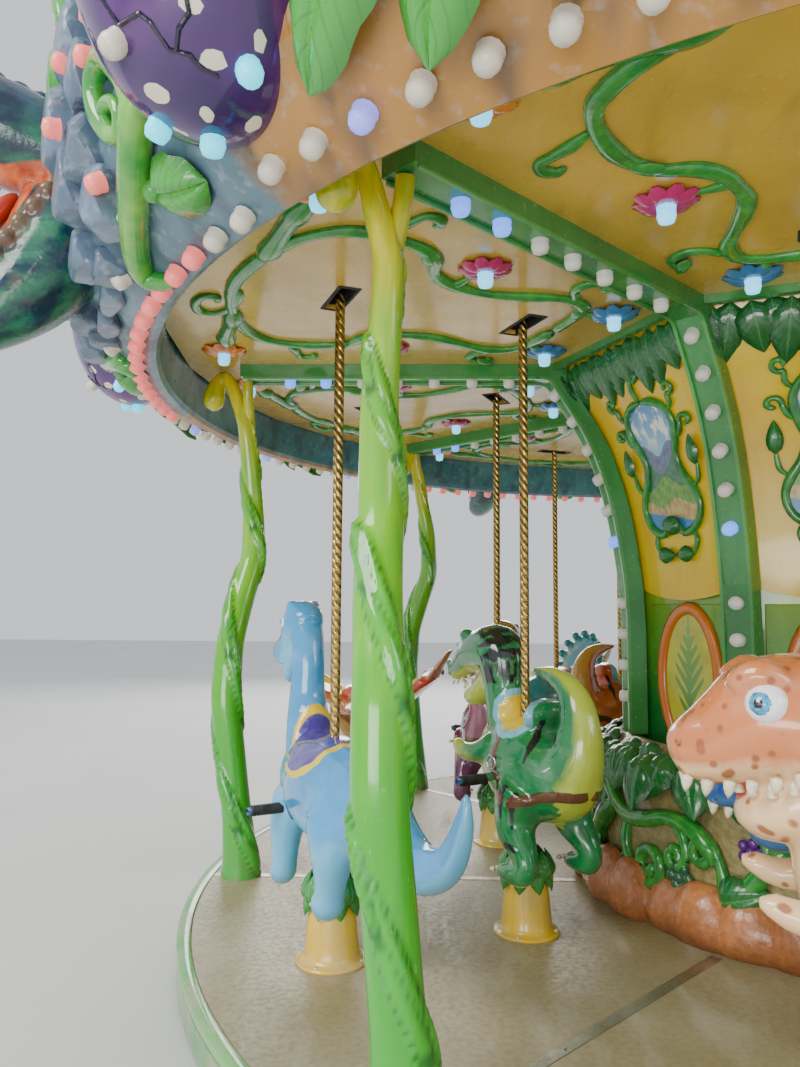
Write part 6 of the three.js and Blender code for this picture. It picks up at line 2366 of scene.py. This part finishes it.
class CAROUSEL_OT_cornice(bpy.types.Operator):
    """Makes the rock-faced cornice with its boulders and the spotted eggs over the columns"""
    bl_idname = "carousel.cornice"
    bl_label = "Cornice rock"

    def execute(self, context):
        make_rock_wall()
        make_boulders()
        make_eggs()
        return {"FINISHED"}


def make_cornice_vines(slate_turns):
    """The curled vines beside the eggs."""
    stems = []
    for way in (1, -1):
        def line(points):
            return [(22.5 + way * (d - 202.5), z, s) for d, z, s in points]

        stems.append(face_vine(line([
            (219.6, 2.49, 0.95), (219.5, 2.57, 0.95), (218.3, 2.657, 0.92), (217.1, 2.713, 0.86),
            (215.9, 2.72, 0.8),
            (215.2, 2.688, 0.76), (215.4, 2.618, 0.72), (216.3, 2.541, 0.68), (217.3, 2.515, 0.62),
            (217.7, 2.541, 0.56),
            (217.5, 2.581, 0.52), (216.7, 2.61, 0.5), (216.0, 2.602, 0.5), (216.1, 2.564, 0.4)]), 0.042))
        stems.append(face_vine(line([
            (220.2, 2.64, 0.55), (220.5, 2.59, 0.85), (220.4, 2.539, 1.0), (219.5, 2.465, 1.08),
            (217.4, 2.404, 1.1), (214.2, 2.354, 1.06), (212.2, 2.318, 1.0), (211.5, 2.287, 0.85),
            (212.2, 2.268, 0.62), (213.1, 2.262, 0.22)]), 0.046))
    two_tone = Paint("cornice_vine_green", coat=0.7)
    low_light = two_tone.mottle(7.0, 4.0, 0.4, 0.62, stretch=(1.0, 1.0, 0.4))
    two_tone.colour(two_tone.blend(low_light, (0.03, 0.3, 0.035), (0.22, 0.56, 0.06)))
    two_tone.rough(two_tone.span(low_light, 0.0, 1.0, 0.09, 0.24))
    two_tone.relief(low_light, 0.15, 0.002)
    ringed(stems, "cornice_vines", 80, two_tone.material, "green_gloss", turns=slate_turns)


def make_sprouts(slate_turns, bright):
    """The sprouts over the busts, and a knob with a leaf at each vine."""
    knobs, sprouts = [], []
    for way in (1, -1):
        knobs.append(ball("knob", face_spot(22.5 + way * 15.45, 2.372, 0.026), (0.034,) * 3, 18, 12))
        knobs.append(face_leaf(22.5 + way * 15.9, 2.37, way * 108, 0.18, 0.165, 0.34, 0.014, 0.0, 0.5))
    for d, z, heading, reach, wide in ((12.0, 3.02, 35, 0.4, 0.22), (9.5, 2.98, -12, 0.42, 0.24),
                                      (14.0, 2.9, 60, 0.3, 0.2), (6.0, 3.06, 20, 0.3, 0.2),
                                      (16.0, 3.08, 10, 0.28, 0.2), (2.0, 3.02, -20, 0.32, 0.22)):
        for way in (1, -1):
            sprouts.append(face_leaf(22.5 + way * d, z, way * heading, reach, wide, 0.3, 0.055, -0.04))
        for d, z, heading, reach, wide in ((7.6, 2.86, -10, 0.34, 0.15), (9.6, 2.88, 4, 0.38, 0.17),
                                          (8.4, 2.7, -24, 0.3, 0.13)):
            sprouts.append(face_leaf(22.5 + way * d, z, way * heading, reach, wide, 0.36, 0.08, -0.55))
    ringed(knobs + sprouts, "cornice_sprouts", 60, bright, "green_gloss", turns=slate_turns)


def make_hanging_leaves(clay_turns, bright):
    """The leaves that hang from the orange rock."""
    hanging = [face_leaf(*where, 0.22, 0.055, 0.28, 0.55) for where in (
        (9.5, 2.57, 230, 0.42, 0.24), (12.8, 2.6, 210, 0.42, 0.24), (15.4, 2.62, 196, 0.38, 0.17),
        (23.0, 2.7, 198, 0.44, 0.24), (26.4, 2.68, 184, 0.38, 0.2), (36.2, 2.64, 206, 0.42, 0.235),
        (33.4, 2.64, 216, 0.36, 0.15), (39.8, 2.7, 188, 0.4, 0.23), (18.8, 2.7, 172, 0.34, 0.18),
    )]
    ringed(hanging, "hanging_leaves", 60, bright, "green_gloss", turns=clay_turns)


def make_cornice_lamps(sizes):
    """The lamps under the rim, on the rock and on the eggs."""
    cap = lamp_cap(sizes)
    cream, pink, cyan, violet = [], [], [], []

    def on_face(d, z, lift=0.008):
        return face_spot(d, z, lift), face_out(d, z)

    for i in range(SECTORS):
        base = i * 45
        clay = i % 2
        for k in range(17):
            d = base + 2.6 * k + 0.2 * clay
            reach, height = (3.3, 2.3) if clay else (3.25, 2.27)
            a = math.radians(d)
            spot = (polar(reach, a, height + DECK_TOP), polar(0.5, a, -1))
            bucket = cream if clay or k > 14 else pink
            (violet if clay and k % 6 == 2 else bucket).append(spot)
        if clay:
            for d, z in ((4, 2.95), (13, 3.1), (29, 2.98), (40, 3.12), (21, 3.14)):
                cream.append(on_face(base + d, z, 0.02))
            for d, z in ((16, 2.72), (34, 2.95)):
                violet.append(on_face(base + d, z, 0.02))
        else:
            for way in (1, -1):
                for d, z, lift in ((14.1, 2.833, 0.03), (13.2, 2.754, 0.03), (10.6, 2.62, 0.09),
                                   (12.6, 2.44, 0.04),
                                   (9.4, 2.86, 0.05), (12.6, 3.1, 0.05)):
                    pink.append(on_face(base + 22.5 + way * d, z, lift))
                for d, z in ((12.05, 2.379), (6.5, 2.329)):
                    cream.append(on_face(base + 22.5 + way * d, z, 0.02))
    for i in range(SECTORS):
        for longitude, latitude in EGG_LAMPS:
            a, b = math.radians(longitude - 225), math.radians(latitude)
            out = Vector((math.cos(a) * math.cos(b), math.sin(a) * math.cos(b), math.sin(b)))
            where = Vector([o * s for o, s in zip(out, EGG_SIZE)]) * 0.985 + EGG_CENTRE
            spin = Matrix.Rotation(i * SECTOR, 3, "Z")
            (cream if longitude in (222, 130) else cyan).append((spin @ where, spin @ out))
    lamps(cap, cream, "cornice_lamps_cream", (0.72, 0.66, 0.56), 0.1)
    lamps(cap, pink, "cornice_lamps_pink", (0.98, 0.2, 0.18), 0.55)
    lamps(cap, cyan, "cornice_lamps_cyan", (0.05, 0.72, 0.95), 1.3)
    lamps(cap, violet, "cornice_lamps_violet", (0.28, 0.3, 0.95), 0.9)
    cleared(cap)


class CAROUSEL_OT_cornice_growth(bpy.types.Operator):
    """Makes the vines and leaves on the cornice and its lamps"""
    bl_idname = "carousel.cornice_growth"
    bl_label = "Cornice vines and lamps"

    def execute(self, context):
        slate_turns, clay_turns = ([i * SECTOR for i in range(first, SECTORS, 2)] for first in (0, 1))
        bright = leafy("cornice_leaf_green", (0.06, 0.4, 0.045), (0.2, 0.6, 0.1))
        make_cornice_vines(slate_turns)
        make_sprouts(slate_turns, bright)
        make_hanging_leaves(clay_turns, bright)
        make_cornice_lamps(context.scene.carousel_sizes)
        return {"FINISHED"}


def bust_paint():
    """Brushed green with a dark crown, rusty plates and a red mouth."""
    paint = Paint("bust_skin_green", coat=0.25)
    stroke = paint.mottle(18.0, 5.0, 0.38, 0.66, stretch=(0.4, 1.0, 1.0))
    plates = paint.mark("plate")
    paint.colour(paint.blend(stroke, (0.008, 0.03, 0.055), (0.018, 0.17, 0.085)))
    paint.over(paint.mottle(6.0, 3.0, 0.5, 0.72, 0.0, 0.6), (0.012, 0.02, 0.07))
    paint.over(paint.mottle(4.0, 3.0, 0.58, 0.7, 0.0, 0.7), (0.22, 0.07, 0.025))
    crown = paint.span(paint.axis("Z"), DECK_TOP + 2.86, DECK_TOP + 3.0, 0.0, 0.85)
    paint.over(crown, paint.blend(stroke, (0.004, 0.012, 0.035), (0.02, 0.06, 0.12)))
    paint.over(paint.span(plates, 0.0, 0.5, 0.0, 0.75), (0.2, 0.075, 0.035))
    paint.over(paint.span(plates, 0.45, 0.7, 0.0, 0.8), (0.13, 0.2, 0.12))
    flesh = paint.blend(paint.mottle(16.0, 4.0, 0.35, 0.7), (0.4, 0.035, 0.012), (0.8, 0.22, 0.06))
    paint.over(paint.span(paint.mark("mouth"), -0.004, 0.006), flesh)
    paint.rough(paint.span(stroke, 0.0, 1.0, 0.12, 0.36))
    return paint.relief(paint.sum("ADD", paint.cells(30.0), paint.grain(50.0)), 0.25, 0.006).material


class CAROUSEL_OT_busts(bpy.types.Operator):
    """Makes the large dinosaur heads that lean out of the cornice with open mouths"""
    bl_idname = "carousel.busts"
    bl_label = "Dinosaur busts"

    def execute(self, context):
        bodies = [
            ball("neck", (-0.05, 0, 2.75), (0.18, 0.205, 0.285), 20, 14),
            limb([(-30, 2850, 168), (40, 2872, 170), (130, 2890, 170), (240, 2925, 174), (350, 2960, 160),
                  (450, 2950, 134),
                  (540, 2915, 106), (592, 2888, 78), (612, 2880, 26)], 22, 30, 1.05),
            limb([(-20, 2680, 190), (50, 2515, 182), (130, 2385, 152), (230, 2285, 122), (330, 2215, 92),
                  (385, 2190, 58),
                  (402, 2184, 20)], 20, 28, 1.1),
            *limbs([(270, 104, 3090, 50), (350, 116, 3140, 66), (440, 98, 3110, 40)]),
            *limbs([(480, 66, 3020, 34), (540, 58, 2995, 36), (588, 46, 2955, 20)]),
        ]
        rim = [(38, 190, 2745), (77, 184, 2665), (118, 172, 2608), (160, 160, 2552), (200, 147, 2500),
               (240, 132, 2452),
               (282, 114, 2402), (325, 92, 2352), (364, 66, 2305)]
        for k, (x, y, z) in enumerate(rim):
            bodies += lumps(x, y, z, (36 - 1.5 * k, 26, 32 - k), 0.9)
        for k, z in enumerate((3028, 3052, 3072, 3092, 3112, 3104, 3072, 3022)):
            bodies.append(ball("ridge", ((-20 + 72 * k) / 1000, 0, z / 1000), (0.042, 0.02, 0.036), 12, 8,
                               0.3))
        skin_obj = melted(bodies, "bust_skin", 0.012, 28000, 3)
        mouth = [[(60, 0, 2760, 150), (150, 0, 2690, 142), (230, 0, 2610, 128), (300, 0, 2520, 112),
                  (360, 0, 2430, 94),
                  (415, 0, 2340, 74)],
                 [(110, 0, 2780, 120), (260, 0, 2800, 92), (400, 0, 2810, 80), (540, 0, 2805, 54)]]
        marked(skin_obj, "mouth", lambda p: stroke_depth(mouth, p))
        marked(skin_obj, "plate", lambda p: max(
            1 - math.dist((p.x, abs(p.y), p.z), (x / 1000, y / 1000, z / 1000)) / 0.05 for x, y, z in rim))
        teeth = fangs([(255 + 52 * k, 136 - 13 * k, 2822 + 3 * k) for k in range(7)], (8, -66), 17)
        teeth += fangs([(x + 20, y - 20, z - 6) for x, y, z in rim[4:]], (40, 50), 15)
        teeth = joined(teeth, "bust_teeth")
        tongue = ball("tongue", (0.29, 0, 2.56), (0.19, 0.085, 0.038), 18, 10, 0.95)
        eye_set = eyes(352, 140, 3078, 44, (0.4, 1.0, 0.1))

        finishes = figure_parts()
        painted(skin_obj, bust_paint())
        painted(teeth, finishes["ivory"])
        painted(tongue, gloss("bust_tongue", (0.62, 0.08, 0.05), 0.4, 0.7))
        for obj, key in zip(eye_set, ("white", "iris", "pupil")):
            painted(obj, finishes[key])
        for obj in (teeth, tongue, *eye_set):
            pick(obj)
            bpy.ops.object.shade_smooth()
        bust = joined([skin_obj, teeth, tongue, *eye_set], "bust")
        bust.data.transform(Matrix.Translation((3.49, 0, DECK_TOP)))
        for k in range(4):
            one = copied(bust, turn((2 * k + 0.5) * SECTOR))
            one.name = one.data.name = f"bust_head_{k + 1}"
            placed(one, "turntable", "bust_gloss", f"dinosaur_bust_{k + 1}")
        cleared(bust)
        return {"FINISHED"}


class CAROUSEL_OT_roof(bpy.types.Operator):
    """Finishes the roof cone and adds its seams"""
    bl_idname = "carousel.roof"
    bl_label = "Roof"

    def execute(self, context):
        painted(frame["nodes"]["roof"], gloss("roof_green", (0.03, 0.2, 0.06), 1.6, 0.3))
        seam = tube("seam", [(0.275, 0, DECK_TOP + 3.968, 0.011), (1.2, 0, DECK_TOP + 3.795, 0.011),
                             (2.4, 0, DECK_TOP + 3.57, 0.011), (3.425, 0, DECK_TOP + 3.384, 0.011)], 8, 12,
                    1.0)
        seams = smooth(around([seam], "roof_seams", [i * math.pi / 12 for i in range(24)]), 60)
        placed(painted(seams, gloss("seam_green", (0.045, 0.26, 0.075), 1.0, 0.3)), "turntable",
               "roof_green")
        return {"FINISHED"}


# Panel, registration and the run

STEPS = [cls for cls in list(globals().values())
         if isinstance(cls, type) and issubclass(cls, bpy.types.Operator) and cls is not bpy.types.Operator]


class CAROUSEL_PT_panel(bpy.types.Panel):
    """Lists the carousel's pieces"""
    bl_label = "Dinosaur Carousel"
    bl_idname = "CAROUSEL_PT_panel"
    bl_space_type = "VIEW_3D"
    bl_region_type = "UI"
    bl_category = "Carousel"

    def draw(self, context):
        for step in STEPS:
            self.layout.operator(step.bl_idname)
        for group in (context.scene.carousel_sizes, context.scene.carousel_colours):
            for key in group.__annotations__:
                self.layout.prop(group, key)


CLASSES = [CarouselSizes, CarouselColours, *STEPS, CAROUSEL_PT_panel]


def register():
    for cls in CLASSES:
        bpy.utils.register_class(cls)
    bpy.types.Scene.carousel_sizes = PointerProperty(type=CarouselSizes)
    bpy.types.Scene.carousel_colours = PointerProperty(type=CarouselColours)


def unregister():
    del bpy.types.Scene.carousel_sizes
    del bpy.types.Scene.carousel_colours
    for cls in reversed(CLASSES):
        bpy.utils.unregister_class(cls)


def main():
    register()
    for step in STEPS:
        if step.bl_idname != "carousel.stage":
            getattr(bpy.ops.carousel, step.bl_idname.split(".")[1])()
    bpy.ops.carousel.stage()
    deselect()
    with open("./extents.json", "w") as report:
        json.dump({"cad": CAD_BOX, "visual": [list(corner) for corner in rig.bounds()]}, report)


if __name__ == "__main__":
    main()
